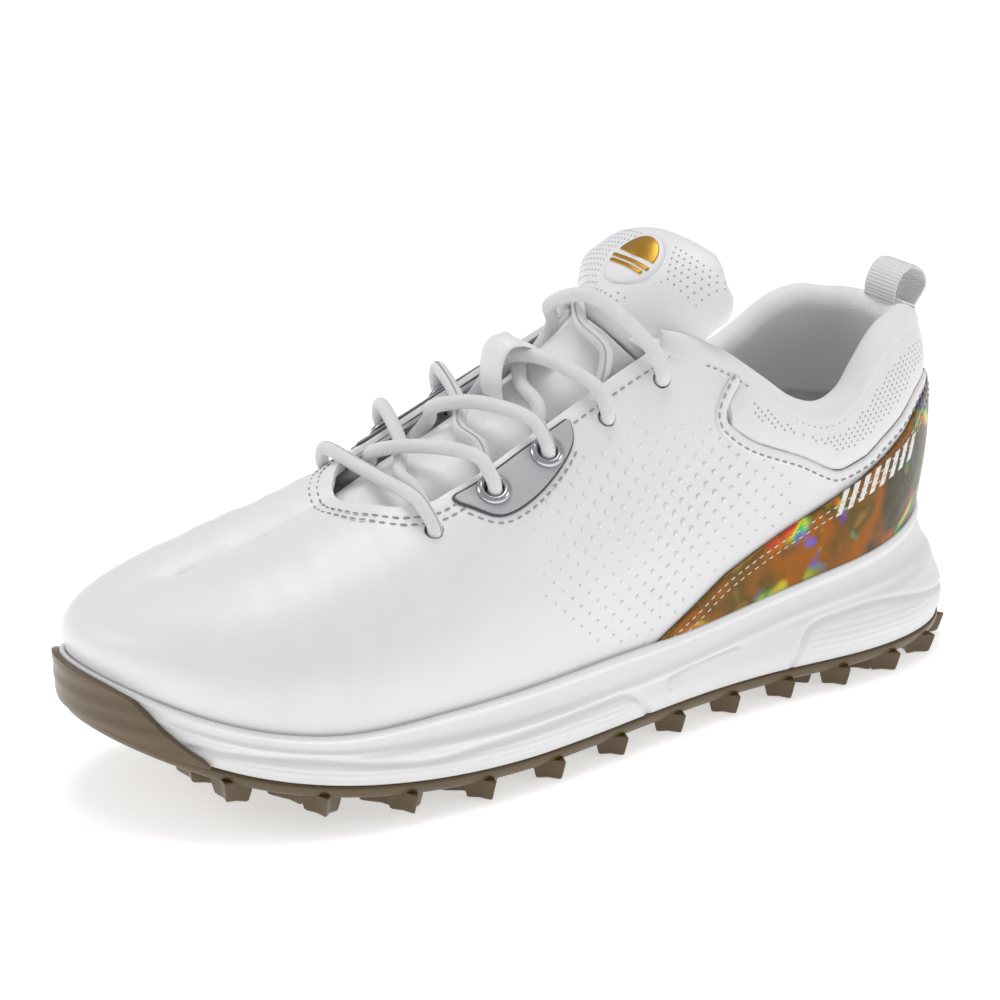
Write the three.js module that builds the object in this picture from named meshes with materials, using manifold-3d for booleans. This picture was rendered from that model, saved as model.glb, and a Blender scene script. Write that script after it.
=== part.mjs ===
// Spikeless golf shoe, left foot. Millimetres, +Z up, toe towards +X, outer side of the foot towards +Y.
// Everything follows one skin, the outer face of the upper. A layer is a pair of offsets from that skin,
// and each piece of the upper is a layer cut to its own outline.
import * as THREE from 'three';
import { mergeVertices } from 'three/addons/utils/BufferGeometryUtils.js';
import Module from 'manifold-3d';

const wasm = await Module();
wasm.setup();

// ---------------------------------------------------------------- driving sizes
const LAST_LENGTH = 285;         // upper at the edge of the midsole, heel to toe
const LAST_WIDTH = 98;           // the same, across the ball of the foot
const UPPER_HEIGHT = 118;        // ridge of the heel cone above the ground
const DRAWN = { length: 285, width: 98, height: 118 };  // the size that the outlines below are drawn at

const GAP = 0.3;                 // between pieces that touch
const SHELL_GAP = 0.45;          // between the upper and what lines it, where both curve sharply
const UPPER_LEATHER = 1.6;
const LINING = 2.3;              // textile with its thin foam
const REINFORCEMENT = 1.1;       // toe puff, heel counter and lace facings
const TRIM_SKIN = 1.0;           // lace stays and heel overlay, laid on the upper
const COLLAR_SKIN = 1.2;         // collar panel and collar lining
const COLLAR_PADDING = 6.6;
const INSOLE_BOARD = 2.2;
const SOCKLINER = 4.5;
const OUTSOLE_PLATE = 4;
const LUG_HEIGHT = 5.5;
const LIP_RISE = 1;              // how far the midsole's rim climbs above the lip line
const LIP_WALL = 2;
const BUMPER = 2.1;              // rubber turned up over the toe
const SHANK = { start: 78, end: 178, width: 26, thickness: 1.6 };

const LACE_RADIUS = 2;
const LACE_SIDES = 8;
const EYELET_BORE = 2.9;
const EYELET_BARREL = 0.5;       // wall of the metal ring
const EYELET_FLANGE = 1.7;
const TONGUE_SKIN = 1.2;
const TONGUE_PADDING = 7;
const TAB = { width: 15, thickness: 1.2 };
const KEEPER = { width: 12, length: 21, thickness: 1.1, arch: 13.8 };

const COLUMNS = 44;              // facets around the upper
const ROWS = 6;                  // facets from lip to ridge

// ---------------------------------------------------------------- outlines, on the drawn size
// Lip line in plan, from the heel along the outer side to the toe and back.
const PLAN = [
  [4, 0], [13, 21], [42, 33], [80, 35], [122, 40], [168, 48], [215, 50], [262, 37],
  [289, -6], [274, -37], [232, -48], [190, -47], [145, -37], [100, -31], [55, -32], [17, -22],
];
// Ridge that the skin closes to, at the same sixteen stations: x, y, z.
const RIDGE = [
  [4, 0, 118], [12, 12, 120], [42, 20, 124], [78, 18, 126], [110, 4, 122], [148, -1, 106], [190, -1, 88],
  [232, -3, 73], [258, -6, 65], [232, -3, 73], [190, -1, 88], [148, -1, 106], [110, -4, 122],
  [78, -18, 126], [42, -20, 124], [12, -12, 120],
];
// Roundness of the section at each station: plan power, height power, side bulge.
const SECTION = [
  [0.8, 1, 3.5], [0.85, 1, 3.5], [0.8, 1, 2.5], [0.7, 1, 1.5], [0.8, 1, 1.5], [0.95, 0.95, 2],
  [0.9, 0.9, 2.5], [0.75, 0.85, 3], [0.7, 0.85, 3], [0.85, 0.95, 3], [1.15, 1, 2.5], [1.15, 1, 2],
  [0.85, 1, 1.5], [0.7, 1, 1.5], [0.8, 1, 2.5], [0.85, 1, 3.5],
];
// How far the sole edge stands out from the lip line at each station.
const FLARE = [9, 9.5, 7, 4, 3, 3, 2, 1, 1, 1, 2, 2, 3, 3, 6, 8.5];
// Heights along the shoe: x, z.
const LIP = [[0, 48], [20, 42], [60, 36], [110, 30], [150, 30], [200, 29], [240, 29], [270, 35], [300, 47]];
const FLOOR = [[0, 27], [30, 25.5], [60, 23], [110, 19], [150, 16.5], [200, 15.5], [240, 19.5], [265, 25.5], [300, 37]];
const SOLE_TOP = [[0, 9.5], [60, 9.5], [140, 9.5], [160, 9.5], [180, 9.5], [215, 11.5], [240, 15], [265, 20.5], [285, 27], [305, 36]];
const TOPLINE_OUTER = [
  [-30, 106], [0, 106], [15, 108], [18, 108], [28, 106], [38, 100], [48, 92], [58, 89], [68, 92], [80, 101], [92, 110],
  [104, 116], [118, 121], [125, 126],
];
const TOPLINE_INNER = [
  [-30, 106], [0, 106], [15, 108], [18, 108], [28, 109.5], [38, 106], [48, 98], [58, 93], [68, 94], [80, 101], [92, 110],
  [104, 116], [118, 121], [125, 126],
];
// Lower edge of the padded collar panel, from its front corner round to the back of the heel: x, z.
const COLLAR_EDGE = [
  [88, 104], [93, 98], [95, 94], [93, 90.5], [85, 84.5], [68, 77], [57, 71], [52, 70], [42, 72.5], [36, 76],
  [26, 81], [17, 87], [8, 90], [-30, 90],
];
// Upper edge of the heel overlay, from its tip on the quarter to the back of the heel: x, z.
const OVERLAY_EDGE = [[126, 30], [110, 38], [97, 45.5], [73, 55], [48, 64], [34, 70.5], [24, 76], [17, 82], [8, 87.5], [-30, 87.5]];
// Half width of the lacing gap about its own centre line: x, half width, centre.
const THROAT = [
  [92, 18, 0.5], [100, 19, 1], [130, 20.5, 1], [160, 22, 1.5], [185, 23, 2.5], [197, 21, 3.5], [206, 13, 4],
  [210, 5, 4], [211, 0, 4],
];
// Outline of the lace stay in plan, on the outer side: x, y.
const STAY = [[190, 14], [188, 27], [184, 32], [177, 36.5], [166, 36], [154, 32.5], [147.5, 28.5], [146.5, 22], [148, 14]];
const INNER_STAY_SHARE = 0.95;   // the inner stay is a little narrower
// Eyelet rows from the toe up: x, and y on the outer and the inner side.
const EYELETS = [[197, 33, -30.5], [176, 31, -29.5], [156.5, 29, -28], [134.5, 28, -27], [114, 26.5, -26]];
const RINGED_ROWS = [1, 2];      // rows that carry a metal ring
// Tongue stations: distance along it, x, z, half width, crosswise curvature.
const TONGUE = [
  [0, 213, 74, 22, 0.022], [23, 190, 85.5, 21.5, 0.028], [45, 170, 95.5, 21, 0.032], [63, 154, 103.5, 20.5, 0.038],
  [81, 139, 112.5, 20, 0.05], [97, 127, 122, 19, 0.061], [105, 121, 126.5, 17.5, 0.048], [112, 115, 131, 18, 0.036],
  [118, 110, 134.7, 22.5, 0.025], [126, 103.5, 139, 31, 0.014], [134, 97.5, 143.5, 28, 0.01], [139, 93.5, 146, 19, 0.008],
];
const TONGUE_SEAM = 99;          // distance along the tongue where the padded top is sewn on
const TONGUE_END = 139;
const KEEPER_PLACE = 70;         // middle of the lace keeper, along the tongue
const BADGE = { place: 122, radius: 11, thickness: 0.6 };
// Ribbon of the pull tab. The loop stands on the rim, seen from the side: x, z.
const TAB_LOOP = [[11.5, 109.6], [11, 114], [8.5, 118.5], [4.5, 120.2], [0.5, 118.3], [-1, 113.5]];
const TAB_ANCHOR = [107, 102, 97, 92];                  // heights of the stretch sewn down the back of the heel
// Lugs under the sole: x, y, size, turn in degrees.
const LUGS = [
  [14, 20, 11, 20], [12, -16, 11, 160], [38, 29, 11, 0], [38, -28, 11, 180], [62, 28, 10, 10], [62, -27, 10, 170],
  [24, 3, 9, 90], [50, 1, 9, 90], [140, 32, 9, 0], [140, -28, 9, 180], [166, 38, 11, 0], [166, -36, 11, 180],
  [192, 41, 12, 0], [192, -38, 12, 180], [218, 40, 12, -10], [218, -38, 12, 190], [243, 32, 12, -20],
  [243, -36, 12, 200], [265, 16, 11, -50], [263, -25, 11, 230], [180, 2, 9, 90], [206, 1, 9, 90], [234, -2, 9, 90],
];

const STRETCH = {
  x: LAST_LENGTH / DRAWN.length,
  y: LAST_WIDTH / DRAWN.width,
  z: UPPER_HEIGHT / DRAWN.height,
};

// ---------------------------------------------------------------- curves
// Control points of the closed cubic spline that passes through the given rows.
function splineThrough(rows) {
  let control = rows.map((row) => [...row]);
  for (let pass = 0; pass < 60; pass++) {
    control = rows.map((row, i) => {
      const before = control.at(i - 1);
      const after = control[(i + 1) % rows.length];
      return row.map((value, k) => (6 * value - before[k] - after[k]) / 4);
    });
  }
  return control;
}

// Point of a closed uniform cubic spline at u, from 0 to 1 once round.
function onLoop(control, u) {
  const count = control.length;
  const place = (((u % 1) + 1) % 1) * count;
  const i = Math.floor(place);
  const f = place - i;
  const weights = [(1 - f) ** 3, 3 * f ** 3 - 6 * f ** 2 + 4, -3 * f ** 3 + 3 * f ** 2 + 3 * f + 1, f ** 3];
  return control[0].map((_, k) => weights.reduce(
    (sum, weight, j) => sum + (weight * control[(i + j - 1 + count) % count][k]) / 6, 0));
}

// Smooth value of a table [x, a, b, ...] at x, in column k, held constant past its ends.
function along(table, x, k = 1) {
  const last = table.length - 1;
  const at = THREE.MathUtils.clamp(x, table[0][0], table[last][0]);
  let i = 0;
  while (i < last - 1 && table[i + 1][0] < at) i++;
  const slope = (j) => {
    if (j === 0 || j === last) {
      const [p, q] = j === 0 ? [0, 1] : [last - 1, last];
      return (table[q][k] - table[p][k]) / (table[q][0] - table[p][0]);
    }
    const back = table[j][0] - table[j - 1][0];
    const ahead = table[j + 1][0] - table[j][0];
    return (back ** 2 * table[j + 1][k] + (ahead ** 2 - back ** 2) * table[j][k] - ahead ** 2 * table[j - 1][k])
      / (back * ahead * (back + ahead));
  };
  const width = table[i + 1][0] - table[i][0];
  const t = (at - table[i][0]) / width;
  return (2 * t ** 3 - 3 * t ** 2 + 1) * table[i][k] + (t ** 3 - 2 * t ** 2 + t) * width * slope(i)
    + (-2 * t ** 3 + 3 * t ** 2) * table[i + 1][k] + (t ** 3 - t ** 2) * width * slope(i + 1);
}

const planLoop = splineThrough(PLAN);
const ridgeLoop = splineThrough(RIDGE);
const sectionLoop = splineThrough(SECTION);
const flareLoop = splineThrough(FLARE.map((value) => [value]));

// Lip line at u, on the drawn size: its point and the outward direction in plan.
function lipLine(u) {
  const step = 1e-4;
  const [x, y] = onLoop(planLoop, u);
  const [ax, ay] = onLoop(planLoop, u - step);
  const [bx, by] = onLoop(planLoop, u + step);
  const size = Math.hypot(bx - ax, by - ay);
  return { x, y, outX: -(by - ay) / size, outY: (bx - ax) / size };
}

const stretched = (x, y, z) => new THREE.Vector3(x * STRETCH.x, y * STRETCH.y, z * STRETCH.z);
const offsetAt = (offset, x) => (typeof offset === 'function' ? offset(x) : offset);

// Ridge at u. In front of the foot opening both sides of the upper meet on one line, which ends in one point.
function ridgeAt(u) {
  if (Math.abs(u - 0.5) < 1.1 / COLUMNS) return onLoop(ridgeLoop, 0.5);
  const own = onLoop(ridgeLoop, u);
  const other = onLoop(ridgeLoop, 1 - u);
  const share = THREE.MathUtils.smoothstep(own[0], 150, 185) / 2;
  return own.map((value, k) => value * (1 - share) + other[k] * share);
}

// Point of the upper's skin: u goes round the shoe, v climbs from lip to ridge, offset is outwards.
function skin(u, v, offset = 0) {
  const lip = lipLine(u);
  const [rx, ry, rz] = ridgeAt(u);
  const [planPower, heightPower, bulge] = onLoop(sectionLoop, u);
  const angle = (v * Math.PI) / 2;
  const across = 1 - Math.max(Math.cos(angle), 0) ** planPower;
  const up = Math.sin(angle) ** heightPower;
  const d = offsetAt(offset, lip.x);
  const out = (d + bulge * Math.sin(Math.PI * Math.min(v / 0.6, 1))) * Math.sqrt(Math.max(1 - across, 0));
  return stretched(
    lip.x * (1 - across) + rx * across + lip.outX * out,
    lip.y * (1 - across) + ry * across + lip.outY * out,
    along(LIP, lip.x) * (1 - up) + (rz + d) * up);
}

// ---------------------------------------------------------------- solids
// Manifold of a list of points and triangles, faces outwards.
function solidOf(points, triangles) {
  const geometry = new THREE.BufferGeometry();
  geometry.setAttribute('position', new THREE.Float32BufferAttribute(points.flatMap((p) => [p.x, p.y, p.z]), 3));
  geometry.setIndex(triangles.flat());
  return solidOfGeometry(geometry);
}

function solidOfGeometry(source) {
  const bare = source.clone();
  bare.deleteAttribute('normal');
  bare.deleteAttribute('uv');
  const geometry = mergeVertices(bare, 1e-3);
  const p = geometry.attributes.position;
  const corner = (i) => new THREE.Vector3().fromBufferAttribute(p, i);
  let triVerts = [];
  let volume = 0;
  for (let t = 0; t < geometry.index.count; t += 3) {
    const [a, b, c] = [0, 1, 2].map((k) => geometry.index.getX(t + k));
    if (a === b || b === c || c === a) continue;
    triVerts.push(a, b, c);
    volume += corner(a).dot(corner(b).cross(corner(c)));
  }
  if (volume < 0) triVerts = triVerts.reverse();
  const mesh = new wasm.Mesh({
    numProp: 3, vertProperties: new Float32Array(p.array), triVerts: new Uint32Array(triVerts),
  });
  return new wasm.Manifold(mesh);
}

// Solid through closed rings of equal count, each with point 0 at the heel and its middle at the toe.
function ringSolid(rings) {
  const count = rings[0].length;
  const triangles = [];
  const quad = (a, b, c, d) => triangles.push([a, b, c], [a, c, d]);
  for (let r = 0; r < rings.length - 1; r++) {
    for (let i = 0; i < count; i++) {
      const j = (i + 1) % count;
      quad(r * count + i, r * count + j, (r + 1) * count + j, (r + 1) * count + i);
    }
  }
  const top = (rings.length - 1) * count;
  for (let i = 0; i < count / 2; i++) {
    const [a, b, c, d] = [i, i + 1, count - i - 1, (count - i) % count];
    quad(d, c, b, a);
    quad(top + a, top + b, top + c, top + d);
  }
  return solidOf(rings.flat(), triangles);
}

// Solid through equal closed sections in a row, each a ring of points that turns the same way.
function sectionSolid(sections) {
  const count = sections[0].length;
  const triangles = [];
  for (let s = 0; s < sections.length - 1; s++) {
    for (let i = 0; i < count; i++) {
      const j = (i + 1) % count;
      const [a, b, c, e] = [s * count + i, s * count + j, (s + 1) * count + j, (s + 1) * count + i];
      if (i < count / 2) triangles.push([a, b, c], [a, c, e]);
      else triangles.push([a, b, e], [b, c, e]);
    }
  }
  const end = (sections.length - 1) * count;
  for (let i = 0; i < count / 2 - 1; i++) {
    const [a, b, c, d] = [i, i + 1, count - i - 2, count - i - 1];
    triangles.push([a, c, b], [a, d, c], [end + a, end + b, end + c], [end + a, end + c, end + d]);
  }
  return solidOf(sections.flat(), triangles);
}

const shapeOf = (points) => new THREE.Shape(points.map(([x, y]) => new THREE.Vector2(x, y)));

// Prism of a side outline (x, z) between two y values, and of a plan outline (x, y) between two heights.
function sidePrism(points, low, high) {
  const shape = shapeOf(points.map(([x, z]) => [x * STRETCH.x, z * STRETCH.z]));
  const geometry = new THREE.ExtrudeGeometry(shape, { depth: high - low, bevelEnabled: false });
  return solidOfGeometry(geometry.rotateX(Math.PI / 2).translate(0, high, 0));
}
function planPrism(points, low, high) {
  const shape = shapeOf(points.map(([x, y]) => [x * STRETCH.x, y * STRETCH.y]));
  const geometry = new THREE.ExtrudeGeometry(shape, { depth: (high - low) * STRETCH.z, bevelEnabled: false });
  return solidOfGeometry(geometry.translate(0, 0, low * STRETCH.z));
}

const SIDE = 90;                 // half width that clears the shoe
const SKY = 240;                 // height that clears the shoe
const stations = (from, to, step) => Array.from(
  { length: Math.round((to - from) / step) + 1 }, (_, i) => from + i * step);
const curveOf = (table, from, to, step, rise = 0) => stations(from, to, step).map((x) => [x, along(table, x) + rise]);
const bothSides = (points) => sidePrism(points, -SIDE, SIDE);
const above = (table, rise = 0) => bothSides([...curveOf(table, -40, 335, 15, rise), [335, SKY], [-40, SKY]]);
const below = (table, rise = 0) => bothSides([...curveOf(table, -40, 335, 15, rise), [335, -60], [-40, -60]]);

// Body of the upper out to an offset, reaching below the floor of the midsole's cup.
const FEATHER = 5;               // how far the upper turns in under the foot
const DEEP = 5;
function lastSolid(offset, drop = DEEP) {
  const us = stations(0, COLUMNS - 1, 1).map((i) => i / COLUMNS);
  const under = [0, 0.5].map((share) => us.map((u) => {
    const lip = lipLine(u);
    const out = offsetAt(offset, lip.x) - FEATHER * (1 - share) ** 2;
    const low = along(FLOOR, lip.x) - drop;
    return stretched(lip.x + lip.outX * out, lip.y + lip.outY * out, low + (along(LIP, lip.x) - low) * share);
  }));
  const rows = stations(0, ROWS, 1).map((r) => us.map((u) => skin(u, r / ROWS, offset)));
  return ringSolid([...under, ...rows]);
}

// Layer between two offsets, standing on the floor of the cup or that much higher.
const layer = (outer, inner, rise = 0) => lastSolid(outer).subtract(lastSolid(inner, DEEP + 3))
  .intersect(above(FLOOR, rise));

// Everything over the foot opening: above the topline on each side, and the lacing gap.
const TOPLINE_STEP = 8;
const overTopline = (rise) => {
  const outline = (table) => [...curveOf(table, -30, 122, TOPLINE_STEP, rise), [122, SKY], [-30, SKY]];
  return sidePrism(outline(TOPLINE_OUTER), 0, SIDE).add(sidePrism(outline(TOPLINE_INNER), -SIDE, 0.01));
};
const THROAT_START = THROAT[0][0];
const throatXs = [110, 130, 150, 170, 186, 196, 203, 208, 211];
const throatPrism = (widen, low = 60, start = THROAT_START) => {
  const edge = (side) => [start, ...throatXs].map((x) => [
    x + (widen * Math.max(x - 185, 0)) / 26, along(THROAT, x, 2) + side * (along(THROAT, x, 1) + widen)]);
  return planPrism([...edge(-1), ...edge(1).reverse().slice(1)], low, SKY);
};

// ---------------------------------------------------------------- layers of the upper
const d = {
  lining: -(UPPER_LEATHER + SHELL_GAP),
  inside: -(UPPER_LEATHER + SHELL_GAP + LINING),
  padding: (x) => -(UPPER_LEATHER + SHELL_GAP + COLLAR_PADDING * (1 - 0.4 * THREE.MathUtils.smoothstep(x, 70, 100))),
};
const grown = (offset, by) => (x) => offsetAt(offset, x) + by;
const collarInside = grown(d.padding, -GAP - COLLAR_SKIN);

const collarOutline = (grow) => [
  ...COLLAR_EDGE.map(([x, z], i) => [x + (i < 5 ? grow : 0), z - (i > 3 ? grow : 0)]), [-30, SKY], [88 + grow, SKY],
];
const collarRegion = (grow) => bothSides(collarOutline(grow));
const RIM = 1.5;                 // height of the rolled edge above the collar panel
const EAR_RIM = 5;               // height of the soft rim above the quarter, beside the tongue
const EAR_START = 84;
const earRegion = (rise) => overTopline(rise).intersect(bothSides([[EAR_START, 60], [130, 60], [130, SKY], [EAR_START, SKY]]));

const opening = overTopline(0).add(throatPrism(0));
const shellBody = layer(0, -UPPER_LEATHER);
const COUNTER_EDGE = [[-40, 76], [20, 74], [45, 62], [70, 46], [84, 28]];
const counterRegion = (grow) => bothSides([...COUNTER_EDGE.map(([x, z]) => [x + grow, z + grow]), [84 + grow, 0], [-40, 0]]);
const puffRegion = (grow) => bothSides([[246 - grow, 0], [250 - grow, 60], [262 - grow, 120], [330, 120], [330, 0]]);
const ON_BOARD = INSOLE_BOARD + GAP;
const reinforcement = (grow) => layer(d.lining + grow, d.lining - REINFORCEMENT - grow, ON_BOARD - 6 * grow);
const PAD_FRONT = 96;            // the collar padding stops here, behind the ears
const padOutline = (grow) => [
  ...COLLAR_EDGE.map(([x, z], i) => [Math.min(x, PAD_FRONT - 3) + (i < 5 ? grow : 0), z - 3 - (i > 3 ? grow : 0)]),
  [-30, SKY], [88 + grow, SKY],
];
const FACING = 15;               // width of the facing that lines the lacing gap's edge

// Point of the skin over a place in plan, with the outward direction there.
function skinOver(x, y) {
  let [u, v] = y > 0 ? [0.3, 0.6] : [0.7, 0.6];
  const goal = stretched(x, y, 0);
  for (let pass = 0; pass < 30; pass++) {
    const step = 1e-3;
    const at = skin(u, v);
    const du = skin(u + step, v).sub(at).divideScalar(step);
    const dv = skin(u, v + step).sub(at).divideScalar(step);
    const [ex, ey] = [goal.x - at.x, goal.y - at.y];
    const det = du.x * dv.y - dv.x * du.y;
    u += (0.8 * (ex * dv.y - dv.x * ey)) / det;
    v += (0.8 * (du.x * ey - ex * du.y)) / det;
  }
  const at = skin(u, v);
  const normal = skin(u, v, 1).sub(at);
  const du = skin(u + 1e-3, v).sub(at);
  const dv = skin(u, v + 1e-3).sub(at);
  const out = du.cross(dv).normalize();
  return { at, out: out.dot(normal) < 0 ? out.negate() : out };
}
const eyelets = EYELETS.flatMap(([x, outerY, innerY], row) => [
  { row, side: 1, ...skinOver(x, outerY) }, { row, side: -1, ...skinOver(x, innerY) }]);

function placedAlong(geometry, { at, out }) {
  const turn = new THREE.Quaternion().setFromUnitVectors(new THREE.Vector3(0, 1, 0), out);
  return geometry.applyQuaternion(turn).translate(at.x, at.y, at.z);
}
const bore = (eyelet, radius, depth = 24) => solidOfGeometry(
  placedAlong(new THREE.CylinderGeometry(radius, radius, depth, 10), eyelet));
const ringed = eyelets.filter(({ row }) => RINGED_ROWS.includes(row));
const plain = eyelets.filter(({ row }) => !RINGED_ROWS.includes(row));
const lacePassage = plain.map((e) => bore(e, EYELET_BORE)).reduce((a, b) => a.add(b))
  .add(ringed.map((e) => bore(e, EYELET_BORE + EYELET_BARREL + GAP)).reduce((a, b) => a.add(b)));

const upperShell = shellBody.subtract(opening).subtract(collarRegion(GAP))
  .subtract(earRegion(-EAR_RIM)).subtract(lacePassage);
const collarPanel = layer(0, -COLLAR_SKIN).intersect(collarRegion(0)).subtract(overTopline(-RIM - GAP))
  .subtract(bothSides([[EAR_START - GAP, 60], [140, 60], [140, SKY], [EAR_START - GAP, SKY]]).intersect(overTopline(-EAR_RIM - 4)));
const heelCounter = reinforcement(0).intersect(counterRegion(0));
const toePuff = reinforcement(0).intersect(puffRegion(0));
const reinforcementRoom = reinforcement(GAP);
const counterRoom = reinforcementRoom.intersect(counterRegion(GAP));
const puffRoom = reinforcementRoom.intersect(puffRegion(GAP));
const FACING_DROP = 4;           // the facing stops this far under the topline, clear of the tongue
const FACING_EAR = 99;           // behind this the facing fills the ear down to the collar padding
const facingRegion = (grow) => throatPrism(FACING + grow, 60 - grow, THROAT_START - grow).add(
  bothSides([[70, 92 - grow], [FACING_EAR + grow, 92 - grow], [FACING_EAR + grow, SKY], [70, SKY]]));
const facing = reinforcement(0).intersect(facingRegion(0)).subtract(throatPrism(0.5)).subtract(opening)
  .subtract(bothSides(padOutline(2 * GAP + COLLAR_SKIN))).subtract(lacePassage).subtract(overTopline(-FACING_DROP));

const padRegion = (grow, rise) => bothSides(padOutline(grow)).subtract(overTopline(rise));
const collarFoam = layer(d.lining, d.padding).intersect(padRegion(0, -RIM - GAP)).subtract(counterRoom);
const foamRoom = layer(d.lining + GAP, grown(d.padding, -GAP)).intersect(padRegion(GAP, -RIM));
const collarLining = layer(d.lining, collarInside).intersect(padRegion(GAP + COLLAR_SKIN, 0))
  .add(layer(-0.2, collarInside).intersect(padRegion(GAP + COLLAR_SKIN, 0)).intersect(overTopline(-RIM)))
  .subtract(foamRoom).subtract(counterRoom);
const upperLining = layer(d.lining, d.inside, ON_BOARD).subtract(opening).subtract(facingRegion(GAP))
  .subtract(bothSides(padOutline(2 * GAP + COLLAR_SKIN))).subtract(counterRoom).subtract(puffRoom);

const trim = layer(GAP + TRIM_SKIN, GAP);
const heelOverlay = trim.intersect(bothSides([...OVERLAY_EDGE, [-30, 0], [126, 0]])).subtract(below(LIP, LIP_RISE + 1.2));
const stayOutline = (side) => STAY.map(([x, y]) => [x, side * y * (side > 0 ? 1 : INNER_STAY_SHARE)]);
const laceStay = (side) => trim.intersect(planPrism(stayOutline(side), 60, SKY)).subtract(throatPrism(1)).subtract(lacePassage);

// ---------------------------------------------------------------- foot bed
const insoleBoard = lastSolid(d.lining).intersect(above(FLOOR)).intersect(below(FLOOR, INSOLE_BOARD));
const sockliner = lastSolid(d.inside - GAP).intersect(above(FLOOR, ON_BOARD))
  .intersect(below(FLOOR, ON_BOARD + SOCKLINER));

// ---------------------------------------------------------------- sole
// Ring of the sole's outer face at a share of its height, 0 at the outsole and 1 at the rim.
const SOLE_PROFILE = [[0, 0], [0.22, 1.4], [0.5, 0.9], [0.8, 0.25], [1, 0]];  // share, swell beyond the straight flare
const RIM_LEAN = 1.15;
function soleRing(share, out = 0, rise = 0) {
  return stations(0, COLUMNS - 1, 1).map((i) => {
    const u = i / COLUMNS;
    const lip = lipLine(u);
    const [flare] = onLoop(flareLoop, u);
    const reach = LIP_WALL + (flare - LIP_WALL) * (1 - share) ** RIM_LEAN
      + (along(SOLE_PROFILE, share) * flare) / 4 + out;
    const low = along(SOLE_TOP, lip.x) + GAP;
    const high = along(LIP, lip.x) + LIP_RISE;
    return stretched(lip.x + lip.outX * reach, lip.y + lip.outY * reach, low + (high - low) * share + rise);
  });
}
const SOLE_SHARES = [0, 0.22, 0.5, 0.8, 1];
const shankRoom = (grow) => planPrism([
  [SHANK.start - grow, -SHANK.width / 2 - grow], [SHANK.end + grow, -SHANK.width / 2 - grow],
  [SHANK.end + grow, SHANK.width / 2 + grow], [SHANK.start - grow, SHANK.width / 2 + grow]], 0, 60);
const shankSlab = (low, high) => above(FLOOR, -GAP - high).intersect(below(FLOOR, -GAP - low));
const shank = shankRoom(0).intersect(shankSlab(0, SHANK.thickness));
const midsole = ringSolid(SOLE_SHARES.map((share) => soleRing(share)))
  .subtract(lastSolid(GAP).intersect(above(FLOOR, -GAP))).subtract(shankRoom(GAP).intersect(shankSlab(-5, SHANK.thickness + GAP)));

const plateRing = (rise, out) => stations(0, COLUMNS - 1, 1).map((i) => {
  const lip = lipLine(i / COLUMNS);
  const reach = onLoop(flareLoop, i / COLUMNS)[0] + out;
  return stretched(lip.x + lip.outX * reach, lip.y + lip.outY * reach, along(SOLE_TOP, lip.x) + rise);
});
const LUG_POINTS = 4;
// Four-pointed star with hollowed sides, its front point drawn out.
function lugSolid([x, y, size, turn]) {
  const outline = [];
  for (let i = 0; i < 2 * LUG_POINTS; i++) {
    const angle = (i * Math.PI) / LUG_POINTS + (turn * Math.PI) / 180;
    const reach = i % 2 ? size * 0.42 : size * (i === 0 ? 0.85 : 0.72);
    outline.push(new THREE.Vector2(x * STRETCH.x + reach * Math.cos(angle), y * STRETCH.y + reach * Math.sin(angle)));
  }
  const top = along(SOLE_TOP, x) - OUTSOLE_PLATE / 2;
  const depth = LUG_HEIGHT + OUTSOLE_PLATE / 2;
  const geometry = new THREE.ExtrudeGeometry(new THREE.Shape(outline), { depth, bevelEnabled: false });
  const rise = along(SOLE_TOP, x + 5) - along(SOLE_TOP, x - 5);
  const tilt = -Math.atan2(rise, 10);
  geometry.translate(-x * STRETCH.x, 0, -depth).rotateY(tilt).translate(x * STRETCH.x, 0, top);
  return solidOfGeometry(geometry);
}
const BUMPER_EDGE = [[256, 0], [259, 14], [264, 25], [270, 34], [280, 40.5], [290, 45], [330, 62], [330, 0]];
const bumper = ringSolid([
  plateRing(-1, 0.4), ...SOLE_SHARES.map((share) => soleRing(share, GAP + BUMPER))])
  .subtract(ringSolid([plateRing(-9, GAP), ...SOLE_SHARES.map((share) => soleRing(share, GAP)),
    soleRing(1, GAP, 5)])).intersect(bothSides(BUMPER_EDGE));
const plate = ringSolid([plateRing(-OUTSOLE_PLATE, -1), plateRing(-OUTSOLE_PLATE / 2, 0.6), plateRing(-0.2, 0.6)]);
const outsole = LUGS.map(lugSolid).reduce((sole, lug) => sole.add(lug), plate.add(bumper));

// ---------------------------------------------------------------- tongue
// Frame of the tongue at a distance along it: middle of the front face, outward direction, width, curvature.
function tongueAt(s) {
  const [x, z, half, bend] = [1, 2, 3, 4].map((k) => along(TONGUE, s, k));
  const run = 0.5;
  const dx = along(TONGUE, s + run, 1) - along(TONGUE, s - run, 1);
  const dz = along(TONGUE, s + run, 2) - along(TONGUE, s - run, 2);
  const size = Math.hypot(dx, dz);
  return { x, z, half, bend, outX: dz / size, outZ: -dx / size };
}
const TONGUE_MIDDLE = 1;         // the tongue's middle line is this far to the outer side
function tonguePoint(s, y, lift) {
  const { x, z, bend, outX, outZ } = tongueAt(s);
  const d0 = lift - bend * y * y;
  return stretched(x + outX * d0, y + TONGUE_MIDDLE, z + outZ * d0);
}
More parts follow.
